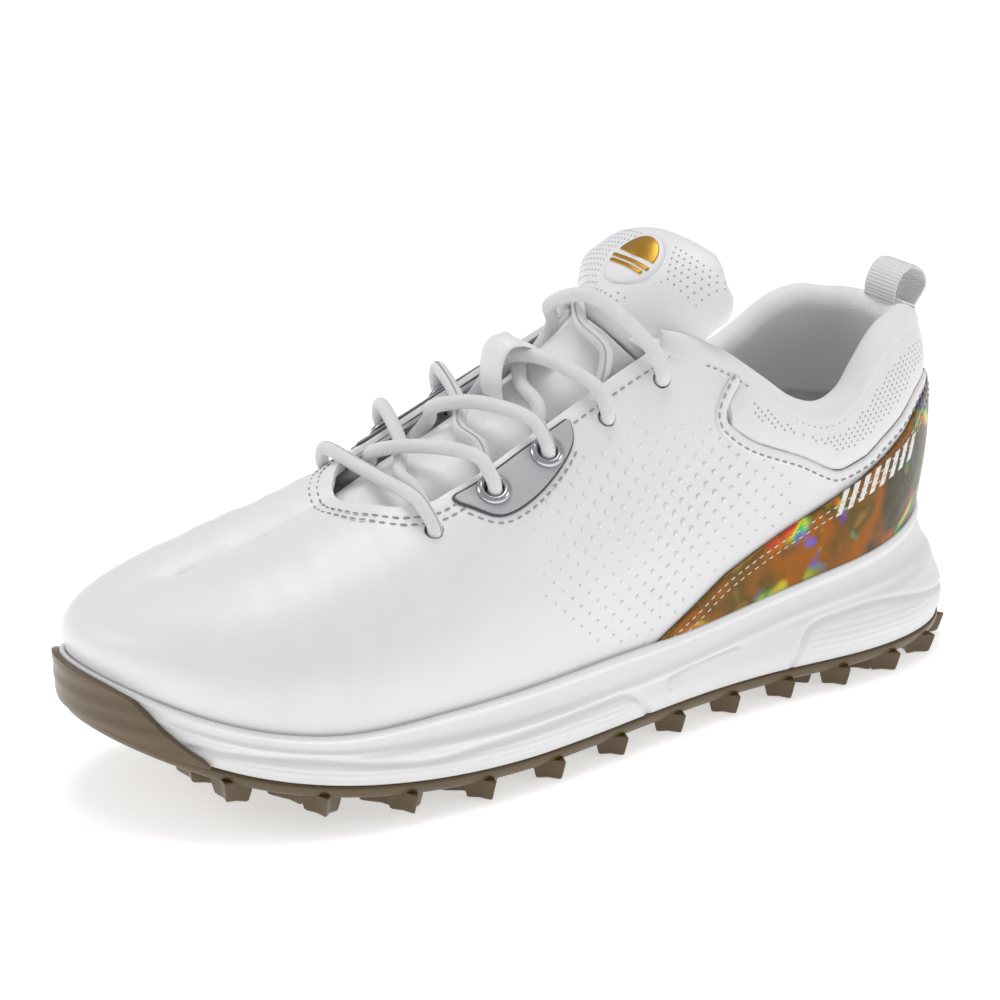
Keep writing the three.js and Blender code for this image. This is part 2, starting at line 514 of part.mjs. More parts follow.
// Part of the tongue between two distances along it and two depths under its front face.
const ACROSS = 6;
function tongueSheet(from, to, top, bottom, steps) {
  return sectionSolid(stations(0, steps, 1).map((i) => {
    const s = from + ((to - from) * i) / steps;
    const { half } = tongueAt(s);
    const ys = stations(0, ACROSS, 1).map((j) => half * ((2 * j) / ACROSS - 1));
    return [...ys.map((y) => tonguePoint(s, y, top)), ...ys.reverse().map((y) => tonguePoint(s, y, bottom))];
  }));
}
const SEAM_GAP = 0.9;            // room for the padded top to tip back
const tongueLowerSkin = tongueSheet(0, TONGUE_SEAM - SEAM_GAP, 0, -TONGUE_SKIN, 9);
const tongueLowerLining = tongueSheet(0, TONGUE_SEAM - SEAM_GAP, -TONGUE_SKIN - GAP, -TONGUE_SKIN - GAP - LINING, 9);
const topSheet = (top, bottom) => tongueSheet(TONGUE_SEAM + SEAM_GAP, TONGUE_END, -top, -bottom, 7);
const tongueTopSkin = topSheet(0, TONGUE_SKIN);
const tongueFoam = topSheet(TONGUE_SKIN + GAP, TONGUE_SKIN + GAP + TONGUE_PADDING);
const tongueTopLining = topSheet(TONGUE_SKIN + 2 * GAP + TONGUE_PADDING, 2 * TONGUE_SKIN + 2 * GAP + TONGUE_PADDING);

// Strap that holds the crossed laces on the middle of the tongue.
function keeperSolid() {
  const steps = 10;
  return sectionSolid(stations(0, steps, 1).map((i) => {
    const share = i / steps;
    const s = KEEPER_PLACE + KEEPER.length * (share - 0.5);
    const lift = GAP + KEEPER.arch * Math.sin(Math.PI * share) ** 0.7;
    const ys = [-1, -0.5, 0, 0.5, 1].map((part) => (part * KEEPER.width) / 2);
    return [
      ...ys.map((y) => tonguePoint(s, y, lift + KEEPER.thickness)), ...ys.reverse().map((y) => tonguePoint(s, y, lift))];
  }));
}
// Round badge that follows the front of the tongue.
function badgeSolid() {
  const steps = 12;
  return sectionSolid(stations(0, steps, 1).map((i) => {
    const angle = Math.PI * (0.06 + (0.88 * i) / steps);
    const s = BADGE.place - BADGE.radius * Math.cos(angle);
    const half = BADGE.radius * Math.sin(angle);
    const ys = [-1, -0.5, 0, 0.5, 1].map((share) => share * half);
    return [
      ...ys.map((y) => tonguePoint(s, y, GAP + BADGE.thickness)), ...ys.reverse().map((y) => tonguePoint(s, y, GAP))];
  }));
}

// ---------------------------------------------------------------- eyelet rings
const RING_BACK = -(UPPER_LEATHER + SHELL_GAP + REINFORCEMENT + 5 * GAP);
function eyeletRing(eyelet) {
  const inner = EYELET_BORE;
  const outer = EYELET_BORE + EYELET_BARREL;
  const flange = outer + EYELET_FLANGE;
  const face = GAP + TRIM_SKIN + GAP;
  const back = RING_BACK;
  const profile = [
    [inner, back], [flange - 0.7, back - 0.3], [flange - 0.7, back], [outer, back + 0.2], [outer, face],
    [flange, face], [outer, face + 0.8], [inner, face + 0.4], [inner, back],
  ];
  const lathe = new THREE.LatheGeometry(profile.map(([r, h]) => new THREE.Vector2(r, h)), 12);
  return solidOfGeometry(placedAlong(lathe, eyelet));
}

// ---------------------------------------------------------------- lace
const eyeletOf = (row, side) => eyelets.find((e) => e.row === row && e.side === side);
const tongueDistance = (x) => {
  let [low, high] = [0, TONGUE_END];
  for (let pass = 0; pass < 30; pass++) {
    const middle = (low + high) / 2;
    if (along(TONGUE, middle, 1) > x) low = middle;
    else high = middle;
  }
  return low;
};

const LACE_REST = LACE_RADIUS + GAP;                    // middle of the lace above what it lies on
const LACE_TURN = 3;                                    // radius of its turn into and out of an eyelet
const UNDER_STAY = UPPER_LEATHER + SHELL_GAP + REINFORCEMENT;  // depth of the facing's underside
// Down into an eyelet, through it, and a turn back towards the gap beneath the facing.
function dive(row, side) {
  const { at, out } = eyeletOf(row, side);
  const inward = new THREE.Vector3(0, -side, 0).addScaledVector(out, side * out.y).normalize();
  const isRinged = RINGED_ROWS.includes(row);
  const face = isRinged ? GAP + TRIM_SKIN + GAP + 0.8 : 0;
  const back = isRinged ? -RING_BACK : UNDER_STAY;
  const place = (height, shift) => at.clone().addScaledVector(out, height).addScaledVector(inward, shift);
  return [
    place(face + LACE_REST + 1.5, 8.5), place(face + LACE_REST + 0.8, 1.3 * LACE_TURN), place(face + 1, 0),
    place(-back, 0), place(-back - LACE_REST - 0.3, 0.6 * LACE_TURN),
  ];
}
// Beside a row, under the edge of the gap.
function underEdge(row, side) {
  const x = EYELETS[row][0] - 2;
  const { at, out } = skinOver(x, along(THROAT, x, 2) + side * (along(THROAT, x, 1) + 0.5));
  return at.addScaledVector(out, -UNDER_STAY - LACE_REST - (RINGED_ROWS.includes(row) ? 1 : 0.2));
}
// Over the tongue, clear of its slope.
function overTongue(s, y, extra = 0) {
  const slope = 2 * tongueAt(s).bend * y;
  return tonguePoint(s, y, (LACE_REST + extra) * Math.hypot(1, slope));
}
// Out from under the edge of the gap beside a row, over the tongue, and down into the eyelet a row up on
// the other side. The strands that end on the outer side lie on top.
function crossing(row, side) {
  const start = tongueDistance(EYELETS[row][0] - 3);
  const end = tongueDistance(EYELETS[row + 1][0] + 6);
  const onTop = side < 0 ? 2 * LACE_RADIUS + GAP : 0;
  return [
    underEdge(row, side),
    overTongue(start + 2, side * 14.5, 1.6),
    overTongue((start + end) / 2 - 4, side * 6, 0.6 + onTop),
    overTongue((start + end) / 2 + 4, -side * 6, 0.6 + onTop),
    ...dive(row + 1, -side),
  ];
}
function laceHalf(side) {
  const points = [overTongue(tongueDistance(EYELETS[0][0]), side * 7, 3.8), ...dive(0, side)];
  let from = side;
  for (let row = 0; row < EYELETS.length - 1; row++) {
    points.push(...crossing(row, from));
    from = -from;
  }
  return points;
}
// Evenly divided between its points, so that the short turns at the eyelets keep their shape.
class LaceCurve extends THREE.CatmullRomCurve3 {
  getSpacedPoints(divisions) {
    return this.getPoints(divisions);
  }

  getTangentAt(t, target) {
    return this.getTangent(t, target);
  }
}
const LACE_STEPS_PER_SPAN = 1.75;
const lacePoints = [...laceHalf(1).reverse(), ...laceHalf(-1)];

// ---------------------------------------------------------------- pull tab
function ribbon(path) {
  const half = TAB.thickness / 2;
  const curve = new THREE.CatmullRomCurve3(path.map(([x, z]) => stretched(x, 0, z)));
  const steps = (path.length - 1) * 3;
  return sectionSolid(curve.getSpacedPoints(steps).map((p, i) => {
    const t = curve.getTangentAt(i / steps);
    const [nx, nz] = [t.z * half, -t.x * half];
    const w = TAB.width / 2;
    return [
      new THREE.Vector3(p.x + nx, -w, p.z + nz), new THREE.Vector3(p.x + nx, w, p.z + nz),
      new THREE.Vector3(p.x - nx, w, p.z - nz), new THREE.Vector3(p.x - nx, -w, p.z - nz)];
  }));
}

// Middle of the ribbon where it lies against the back of the heel, at a height.
function heelBack(height) {
  let [low, high] = [0, 1];
  for (let pass = 0; pass < 30; pass++) {
    const middle = (low + high) / 2;
    if (skin(0, middle).z < height * STRETCH.z) low = middle;
    else high = middle;
  }
  return [skin(0, low, 2 * GAP + TAB.thickness / 2).x / STRETCH.x, height];
}

// ---------------------------------------------------------------- assembly
const group = new THREE.Group();
const finish = (color, roughness, metalness = 0) => ({ color, roughness, metalness });
const WHITE_LEATHER = finish('#e9eaea', 0.45);
const WHITE_TEXTILE = finish('#dcdddd', 0.85);
const SILVER = finish('#9b9ea0', 0.5, 0.2);
const FOAM = finish('#d9d4c5', 0.95);
const BOARD = finish('#b9a98a', 0.9);
const EVA = finish('#eceded', 0.6);
const GUM = finish('#6b614c', 0.5);
const COPPER = finish('#b5762a', 0.3, 0.6);
const GOLD = finish('#c9982f', 0.35, 0.7);
const NICKEL = finish('#b9bcc0', 0.25, 1);
const POLYMER = finish('#3c3f45', 0.6);
const LACE_WHITE = finish('#eeefef', 0.8);

function add(name, solid, look) {
  const { vertProperties, triVerts, numProp } = solid.getMesh();
  const positions = [];
  for (let i = 0; i < vertProperties.length; i += numProp) positions.push(...vertProperties.slice(i, i + 3));
  const geometry = new THREE.BufferGeometry();
  geometry.setAttribute('position', new THREE.Float32BufferAttribute(positions, 3));
  geometry.setIndex([...triVerts]);
  const mesh = new THREE.Mesh(geometry, new THREE.MeshStandardMaterial(look));
  mesh.name = name;
  group.add(mesh);
}

const sideHalf = (side) => {
  const [near, far] = [(side * GAP) / 2, side * SIDE];
  return planPrism([[-60, near], [360, near], [360, far], [-60, far]], -20, SKY);
};

add('outsole', outsole, GUM);
add('midsole', midsole, EVA);
add('shank', shank, POLYMER);
add('insole_board', insoleBoard, BOARD);
add('sockliner', sockliner, WHITE_TEXTILE);
add('upper_shell', upperShell, WHITE_LEATHER);
add('upper_lining', upperLining, WHITE_TEXTILE);
add('toe_puff', toePuff, BOARD);
add('heel_counter', heelCounter, BOARD);
add('heel_overlay', heelOverlay, COPPER);
add('collar_panel', collarPanel, WHITE_LEATHER);
add('collar_foam', collarFoam, FOAM);
add('collar_lining', collarLining, WHITE_TEXTILE);
add('lace_stay_outer', laceStay(1), SILVER);
add('lace_stay_inner', laceStay(-1), SILVER);
add('lace_facing_outer', facing.intersect(sideHalf(1)), BOARD);
add('lace_facing_inner', facing.intersect(sideHalf(-1)), BOARD);
ringed.forEach((eyelet) => {
  add(`eyelet_${eyelet.side > 0 ? 'outer' : 'inner'}_row${eyelet.row + 1}`, eyeletRing(eyelet), NICKEL);
});
add('tongue_lower_skin', tongueLowerSkin, WHITE_LEATHER);
add('tongue_lower_lining', tongueLowerLining, WHITE_TEXTILE);
add('tongue_top_skin', tongueTopSkin, WHITE_LEATHER);
add('tongue_foam', tongueFoam, FOAM);
add('tongue_top_lining', tongueTopLining, WHITE_TEXTILE);
add('tongue_badge', badgeSolid(), GOLD);
add('lace_keeper', keeperSolid(), WHITE_LEATHER);
add('pull_tab_loop', ribbon([...TAB_LOOP, heelBack(TAB_ANCHOR[0] + 2 * GAP)]), LACE_WHITE);
add('pull_tab_anchor', ribbon(TAB_ANCHOR.map(heelBack)), LACE_WHITE);

const laceGeometry = new THREE.ExtrudeGeometry(new THREE.Shape().absarc(0, 0, LACE_RADIUS, 0, 2 * Math.PI), {
  steps: Math.round((lacePoints.length - 1) * LACE_STEPS_PER_SPAN),
  curveSegments: LACE_SIDES / 2,
  extrudePath: new LaceCurve(lacePoints, false, 'centripetal'),
  bevelEnabled: false,
});
add('lace', solidOfGeometry(laceGeometry), LACE_WHITE);

// Origin: middle of the footprint, on the ground.
const box = new THREE.Box3().setFromObject(group);
group.position.set(-(box.min.x + box.max.x) / 2, -(box.min.y + box.max.y) / 2, -box.min.z);

export default group;
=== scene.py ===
"""Looks of a laced golf shoe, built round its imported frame.

The work is in millimetres on the shoe's own drawing axes: heel near x = 0, toe near x = 290, +Y the
outer side of the left foot, ground at z = 0. Each piece is carried into the frame as its mesh is made.
"""

import logging
import math
from dataclasses import dataclass
from enum import Enum
from typing import Callable, Iterable, Sequence

import bmesh
import bpy
import numpy as np
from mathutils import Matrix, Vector


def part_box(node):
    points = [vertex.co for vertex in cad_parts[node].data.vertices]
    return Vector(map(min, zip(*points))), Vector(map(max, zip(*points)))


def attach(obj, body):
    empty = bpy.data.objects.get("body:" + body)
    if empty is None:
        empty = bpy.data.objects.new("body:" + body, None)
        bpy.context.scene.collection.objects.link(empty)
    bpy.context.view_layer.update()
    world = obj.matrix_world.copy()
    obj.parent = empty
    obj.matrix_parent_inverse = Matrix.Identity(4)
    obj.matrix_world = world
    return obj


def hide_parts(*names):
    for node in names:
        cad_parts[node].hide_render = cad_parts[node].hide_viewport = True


Array = np.ndarray
Field = Callable[[Array], Array]
Stops = tuple[tuple[float, str], ...]
Tree, Socket, Node = bpy.types.NodeTree, bpy.types.NodeSocket, bpy.types.Node

log = logging.getLogger("golf_shoe")
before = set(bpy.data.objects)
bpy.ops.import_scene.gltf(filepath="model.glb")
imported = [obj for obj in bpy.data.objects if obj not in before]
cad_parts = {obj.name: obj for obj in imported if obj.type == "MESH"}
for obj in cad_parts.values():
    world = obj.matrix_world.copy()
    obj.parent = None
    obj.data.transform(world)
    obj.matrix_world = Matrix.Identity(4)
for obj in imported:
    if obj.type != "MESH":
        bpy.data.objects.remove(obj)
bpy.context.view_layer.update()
MM = 0.001
NUDGE = 1e-4                     # step in u and v for the slope of a surface
FAR = 1e9                        # mm, further off than anything on the shoe

# The shank's lowest corner on the drawing axes, which ties them to the frame.
SHANK_CORNER = (78.0, -13.0)
SHIFT = np.array([*(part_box("shank")[0][k] / MM - SHANK_CORNER[k] for k in range(2)), 0.0])


def in_frame(points: Array) -> Array:
    """Points of the drawing, in mm, as points of the frame, in metres."""
    return (np.asarray(points, float) + SHIFT) * MM


# ------------------------------------------------------------------ curves
@dataclass(frozen=True)
class Table:
    """A smooth curve through stations, each a row of its place and its values."""

    rows: tuple[tuple[float, ...], ...]

    def at(self, place: Array, column: int = 1) -> Array:
        """Value at each place, held constant past the ends.

        Args:
            place: Where to read the curve.
            column: Which value of the rows.

        Returns:
            One value for each place.
        """
        rows = np.array(self.rows, float)
        xs, ys = rows[:, 0], rows[:, column]
        slopes = np.gradient(ys, xs)
        x = np.clip(place, xs[0], xs[-1])
        i = np.clip(np.searchsorted(xs, x) - 1, 0, len(xs) - 2)
        w = xs[i + 1] - xs[i]
        t = (x - xs[i]) / w
        ends = (2 * t**3 - 3 * t**2 + 1) * ys[i] + (3 * t**2 - 2 * t**3) * ys[i + 1]
        return ends + w * ((t**3 - 2 * t**2 + t) * slopes[i] + (t**3 - t**2) * slopes[i + 1])


class Loop:
    """A closed cubic spline through rows of numbers, at equal steps of u from 0 to 1."""

    def __init__(self, rows: Sequence[Sequence[float]]) -> None:
        """Finds the control points that make the spline pass through the rows.

        Args:
            rows: Rows that the spline passes through, in order.
        """
        values = np.array(rows, float)
        one = np.eye(len(values))
        self.control = np.linalg.solve(4 * one + np.roll(one, 1, 0) + np.roll(one, -1, 0), 6 * values)

    def at(self, u: Array) -> Array:
        """Rows of the spline at each u.

        Args:
            u: Share of the way round, from 0 to 1.

        Returns:
            One row for each u.
        """
        count = len(self.control)
        place = (np.asarray(u, float) % 1) * count
        i = np.floor(place).astype(int)
        f = (place - i)[..., None]

        def ahead(steps: int) -> Array:
            """Control points that many places ahead of each u's own."""
            return self.control[(i + steps) % count]

        near = (3 * f**3 - 6 * f**2 + 4) * ahead(0) + (-3 * f**3 + 3 * f**2 + 3 * f + 1) * ahead(1)
        return ((1 - f) ** 3 * ahead(-1) + near + f**3 * ahead(2)) / 6


def smoothstep(x: Array, low: float, high: float) -> Array:
    """0 below low, 1 above high and a smooth rise between them."""
    t = np.clip((np.asarray(x, float) - low) / (high - low), 0, 1)
    return t * t * (3 - 2 * t)


def unit(vectors: Array) -> Array:
    """The vectors at length one."""
    return vectors / np.maximum(np.linalg.norm(vectors, axis=-1, keepdims=True), 1e-12)


def resampled(points: Array, step: float, weights: Array | None = None) -> Array:
    """Rows at equal steps along a line of points.

    Args:
        points: The line in space, which gives the distances.
        step: Distance between two rows.
        weights: Rows to be read along the line, or None for the points.

    Returns:
        The rows at equal distances, the two ends among them.
    """
    rows = points if weights is None else weights
    far = np.r_[0, np.cumsum(np.linalg.norm(np.diff(points, axis=0), axis=1))]
    places = np.linspace(0, far[-1], max(2, int(round(far[-1] / step)) + 1))
    return np.stack([np.interp(places, far, rows[:, k]) for k in range(rows.shape[1])], -1)


def rounded(points: Sequence[Sequence[float]], step: float = 1.0, closed: bool = False) -> Array:
    """A smooth line through given points, as close points.

    Args:
        points: Points that the line passes through.
        step: About how far apart the new points are.
        closed: Whether the line ends where it starts.

    Returns:
        The points of the line.
    """
    rows = np.array(points, float)
    if closed:
        rows = np.vstack([rows[-1:], rows, rows[:2]])
    else:
        rows = np.vstack([2 * rows[0] - rows[1], rows, 2 * rows[-1] - rows[-2]])
    out = []
    for a, b, c, d in zip(rows, rows[1:], rows[2:], rows[3:]):
        count = max(2, int(np.linalg.norm(c - b) / step))
        t = np.linspace(0, 1, count, endpoint=False)[:, None]
        run = t * (c - a) / 2
        bend = t**2 * (a - 2.5 * b + 2 * c - d / 2)
        out.append(b + run + bend + t**3 * (-a + 3 * b - 3 * c + d) / 2)
    line = np.vstack(out)
    return line if closed else np.vstack([line, rows[-2:-1]])


def centripetal(points: Sequence[Array], count: int = 14) -> Array:
    """A smooth line through points that never loops, however uneven their gaps.

    Args:
        points: Points that the line passes through.
        count: New points from one to the next.

    Returns:
        The points of the line.
    """
    rows = np.array(points, float)
    rows = np.vstack([2 * rows[0] - rows[1], rows, 2 * rows[-1] - rows[-2]])
    out = []
    for a, b, c, d in zip(rows, rows[1:], rows[2:], rows[3:]):
        t1 = np.linalg.norm(b - a) ** 0.5
        t2 = t1 + np.linalg.norm(c - b) ** 0.5
        t3 = t2 + np.linalg.norm(d - c) ** 0.5
        t = np.linspace(t1, t2, count, endpoint=False)[:, None]
        p = a + (b - a) * t / t1
        q = b + (c - b) * (t - t1) / (t2 - t1)
        r = c + (d - c) * (t - t2) / (t3 - t2)
        left = p + (q - p) * t / t2
        right = q + (r - q) * (t - t1) / (t3 - t1)
        out.append(left + (right - left) * (t - t1) / (t2 - t1))
    return np.vstack([*out, rows[-2:-1]])


def bisected(low: Array, high: Array, before: Field, turns: int) -> tuple[Array, Array]:
    """Closes in on the place between low and high where a test changes.

    Args:
        low: Places at which the test holds.
        high: Places at which it doesn't.
        before: The test, true for the places before the change.
        turns: How often the gap is halved.

    Returns:
        The last places before and after the change.
    """
    for _ in range(turns):
        middle = (low + high) / 2
        held = before(middle)
        low, high = np.where(held, middle, low), np.where(held, high, middle)
    return low, high


def from_edge(places: Array, start: Array, edge: Array) -> Array:
    """Distance from each place to the straight edge that leaves a start."""
    t = np.clip(((places - start) @ edge) / (edge @ edge), 0, 1)
    return np.linalg.norm(places - start - t[:, None] * edge, axis=1)


@dataclass(frozen=True)
class Outline:
    """A closed outline in a flat view, with the distance to it."""

    line: Array

    def depth(self, places: Array) -> Array:
        """Distance to the outline, positive inside it and negative outside.

        Args:
            places: Rows of the view's two coordinates.

        Returns:
            One distance for each place.
        """
        a = self.line
        b = np.roll(a, -1, axis=0)
        best = np.full(len(places), FAR)
        inside = np.zeros(len(places), bool)
        for p, q in zip(a, b):
            edge = q - p
            if edge @ edge < 1e-12:
                continue
            best = np.minimum(best, from_edge(places, p, edge))
            if p[1] != q[1]:
                cross = (p[1] > places[:, 1]) != (q[1] > places[:, 1])
                inside ^= cross & (places[:, 0] < p[0] + (places[:, 1] - p[1]) * edge[0] / edge[1])
        return np.where(inside, best, -best)


# ------------------------------------------------------------------ the shoe's own surface
PLAN = (
    (4, 0), (13, 21), (42, 33), (80, 35), (122, 40), (168, 48), (215, 50), (262, 37),
    (289, -6), (274, -37), (232, -48), (190, -47), (145, -37), (100, -31), (55, -32), (17, -22),
)
RIDGE = (
    (4, 0, 118), (12, 12, 120), (42, 20, 124), (78, 18, 126), (110, 4, 122), (148, -1, 106), (190, -1, 88),
    (232, -3, 73), (258, -6, 65), (232, -3, 73), (190, -1, 88), (148, -1, 106), (110, -4, 122),
    (78, -18, 126), (42, -20, 124), (12, -12, 120),
)
SECTION = (
    (0.8, 1, 3.5), (0.85, 1, 3.5), (0.8, 1, 2.5), (0.7, 1, 1.5), (0.8, 1, 1.5), (0.95, 0.95, 2),
    (0.9, 0.9, 2.5), (0.75, 0.85, 3), (0.7, 0.85, 3), (0.85, 0.95, 3), (1.15, 1, 2.5), (1.15, 1, 2),
    (0.85, 1, 1.5), (0.7, 1, 1.5), (0.8, 1, 2.5), (0.85, 1, 3.5),
)
FLARE = (9, 9.5, 7, 4, 3, 3, 2, 1, 1, 1, 2, 2, 3, 3, 6, 8.5)
LIP = Table(((0, 48), (20, 42), (60, 36), (110, 30), (150, 30), (200, 29), (240, 29), (270, 35), (300, 47)))
SOLE_TOP = Table((
    (0, 9.5), (60, 9.5), (140, 9.5), (160, 9.5), (180, 9.5), (215, 11.5), (240, 15), (265, 20.5),
    (285, 27), (305, 36)))
TOPLINE_OUTER = Table((
    (-30, 106), (0, 106), (15, 108), (18, 108), (28, 106), (38, 100), (48, 92), (58, 89), (68, 92),
    (80, 101), (92, 110), (104, 116), (118, 121), (125, 126)))
TOPLINE_INNER = Table((
    (-30, 106), (0, 106), (15, 108), (18, 108), (28, 109.5), (38, 106), (48, 98), (58, 93), (68, 94),
    (80, 101), (92, 110), (104, 116), (118, 121), (125, 126)))
THROAT = Table((
    (92, 18, 0.5), (100, 19, 1), (130, 20.5, 1), (160, 22, 1.5), (185, 23, 2.5), (197, 21, 3.5), (206, 13, 4),
    (210, 5, 4), (211, 0, 4)))
COLLAR_EDGE = (
    (88, 104), (93, 98), (95, 94), (93, 90.5), (85, 84.5), (68, 77), (57, 71), (52, 70), (42, 72.5),
    (36, 76), (26, 81), (17, 87), (8, 90), (-30, 90))
OVERLAY_EDGE = (
    (126, 30), (110, 38), (97, 45.5), (73, 55), (48, 64), (34, 70.5), (24, 76), (17, 82), (8, 87.5),
    (-30, 87.5))
STAY = (
    (190, 14), (188, 27), (184, 32), (177, 36.5), (166, 36), (154, 32.5), (147.5, 28.5), (146.5, 22),
    (148, 14))
EYELETS = ((197, 33, -30.5), (176, 31, -29.5), (156.5, 29, -28), (134.5, 28, -27), (114, 26.5, -26))
RINGED_ROWS = (1, 2)
PIN_HOLE = 0.4                   # radius of the holes of perforated leather
GAP = 0.3
UPPER_LEATHER = 1.6
UNDER_LIP = 14.0                 # how far the upper reaches down inside the midsole's rim


class Last:
    """The outer face of the upper: u goes round the shoe, v climbs from the lip to the ridge."""

    def __init__(self) -> None:
        """Sets up the splines of the plan, the ridge and the sections."""
        self.plan = Loop(PLAN)
        self.ridge_loop = Loop(RIDGE)
        self.section = Loop(SECTION)

    def lip(self, u: Array) -> tuple[Array, Array]:
        """The lip line in plan at u, and the outward direction there.

        Args:
            u: Places round the shoe.

        Returns:
            Points in plan, and directions in plan.
        """
        run = self.plan.at(u + NUDGE) - self.plan.at(u - NUDGE)
        return self.plan.at(u), unit(np.stack([-run[..., 1], run[..., 0]], -1))

    def ridge(self, u: Array) -> Array:
        """The ridge at u. In front of the foot opening both sides meet on one line.

        Args:
            u: Places round the shoe.

        Returns:
            Points in mm.
        """
        own = self.ridge_loop.at(u)
        share = (smoothstep(own[..., 0], 150, 185) / 2)[..., None]
        return own * (1 - share) + self.ridge_loop.at(1 - np.asarray(u)) * share

    def point(self, uv: Array, out: Array | float = 0.0) -> Array:
        """Points of the surface.

        Args:
            uv: Rows of u and v. Below v = 0 the surface runs straight down inside the midsole.
            out: How far outwards the layer lies, one value or one for each row.

        Returns:
            Points in mm.
        """
        u, v = uv[..., 0], np.minimum(uv[..., 1], 1)
        lip, away = self.lip(u)
        ridge = self.ridge(u)
        section = self.section.at(u)
        angle = np.maximum(v, 0) * np.pi / 2
        across = (1 - np.maximum(np.cos(angle), 0) ** section[..., 0])[..., None]
        up = np.sin(angle) ** section[..., 1]
        bulge = section[..., 2] * np.sin(np.pi * np.clip(v / 0.6, 0, 1))
        reach = ((out + bulge) * np.sqrt(np.maximum(1 - across[..., 0], 0)))[..., None]
        xy = lip * (1 - across) + ridge[..., :2] * across + away * reach
        z = LIP.at(lip[..., 0]) * (1 - up) + (ridge[..., 2] + out) * up + np.minimum(v, 0) * UNDER_LIP * 10
        return np.concatenate([xy, z[..., None]], -1)

    def tangents(self, uv: Array) -> tuple[Array, Array]:
        """Change of the surface's point with u and with v.

        Args:
            uv: Rows of u and v.

        Returns:
            One vector for u and one for v at each row.
        """
        du, dv = np.array([NUDGE, 0]), np.array([0, NUDGE])
        safe = np.stack([uv[..., 0], np.minimum(uv[..., 1], 1 - 2 * NUDGE)], -1)
        along_u = (self.point(safe + du) - self.point(safe - du)) / (2 * NUDGE)
        along_v = (self.point(safe + dv) - self.point(safe - dv)) / (2 * NUDGE)
        return along_u, along_v

    def normal(self, uv: Array) -> Array:
        """Outward direction of the surface."""
        along_u, along_v = self.tangents(uv)
        return unit(np.cross(along_v, along_u))

    def moved(self, uv: Array, step: Array) -> Array:
        """Places on the surface after a step in space, taken along the surface.

        Args:
            uv: Rows of u and v.
            step: The step in mm, one for each row.

        Returns:
            The new rows of u and v.
        """
        place = uv.copy()
        parts = max(1, int(np.max(np.linalg.norm(step, axis=-1))))
        for _ in range(parts):
            a, b = self.tangents(place)
            aa, ab, bb = (a * a).sum(-1), (a * b).sum(-1), (b * b).sum(-1)
            ra, rb = (a * step).sum(-1) / parts, (b * step).sum(-1) / parts
            det = aa * bb - ab * ab
            place = place + np.stack([(ra * bb - rb * ab) / det, (rb * aa - ra * ab) / det], -1)
        return place

    def find(self, places: Array, axes: tuple[int, int], side: int) -> Array:
        """Places on the surface that lie on given points of a flat view.

        Args:
            places: Rows of two coordinates of the view.
            axes: Which coordinates they are: (0, 1) for the plan, (0, 2) for the side view.
            side: 1 for the outer side of the shoe and -1 for the inner.

        Returns:
            Rows of u and v.
        """
        us = np.linspace(0.01, 0.49, 97) if side > 0 else np.linspace(0.51, 0.99, 97)
        coarse = np.stack(np.meshgrid(us, np.linspace(0.02, 0.96, 48), indexing="ij"), -1).reshape(-1, 2)
        seen = self.point(coarse)[:, list(axes)]
        uv = np.array([coarse[np.argmin(((seen - p) ** 2).sum(1))] for p in places])
        for _ in range(12):
            miss = places - self.point(uv)[:, list(axes)]
            a, b = (t[:, list(axes)] for t in self.tangents(uv))
            det = a[:, 0] * b[:, 1] - b[:, 0] * a[:, 1]
            du = (miss[:, 0] * b[:, 1] - b[:, 0] * miss[:, 1]) / det
            dv = (a[:, 0] * miss[:, 1] - miss[:, 0] * a[:, 1]) / det
            uv = uv + 0.8 * np.stack([du, dv], -1)
            uv[:, 1] = np.clip(uv[:, 1], -0.05, 0.995)
        return uv


LAST = Last()


# ------------------------------------------------------------------ patches of a surface
SNAP = 0.35                      # share of a cell's edge within which a point moves on to the cut


@dataclass
class Patch:
    """A net of faces over places on a surface."""

    uv: Array
    faces: list[tuple[int, ...]]

    def rim(self) -> list[tuple[int, int]]:
        """Directed edges that only one face has."""
        seen = {(f[k - 1], f[k]) for f in self.faces for k in range(len(f))}
        return [(a, b) for a, b in seen if (b, a) not in seen]

    def rims(self) -> list[Array]:
        """The places along each closed rim, in order.

        Returns:
            One array of places for each rim, the longest first.
        """
        after = dict(self.rim())
        loops = []
        while after:
            start, here = next(iter(after.items()))
            del after[start]
            loop = [start]
            while here != start and here in after:
                loop.append(here)
                here = after.pop(here)
            loops.append(self.uv[loop])
        return sorted(loops, key=len, reverse=True)

    def welded(self, point: Callable[[Array], Array], near: float) -> "Patch":
        """The patch with the two sides of its ridge joined where they meet.

        Args:
            point: Gives the points of places.
            near: Distance in mm under which two points meet.

        Returns:
            The new patch.
        """
        top = np.where(self.uv[:, 1] > 1 - 1e-6)[0]
        spots = point(self.uv[top])
        outer, inner = top[self.uv[top, 0] <= 0.5], top[self.uv[top, 0] > 0.5]
        swap = {}
        if len(outer):
            places = spots[self.uv[top, 0] <= 0.5]
            for index, spot in zip(inner, spots[self.uv[top, 0] > 0.5]):
                far = np.linalg.norm(places - spot, axis=1)
                if far.min() < near:
                    swap[index] = outer[far.argmin()]
        faces = [tuple(dict.fromkeys(swap.get(i, i) for i in f)) for f in self.faces]
        return Patch(self.uv, [f for f in faces if len(f) > 2])


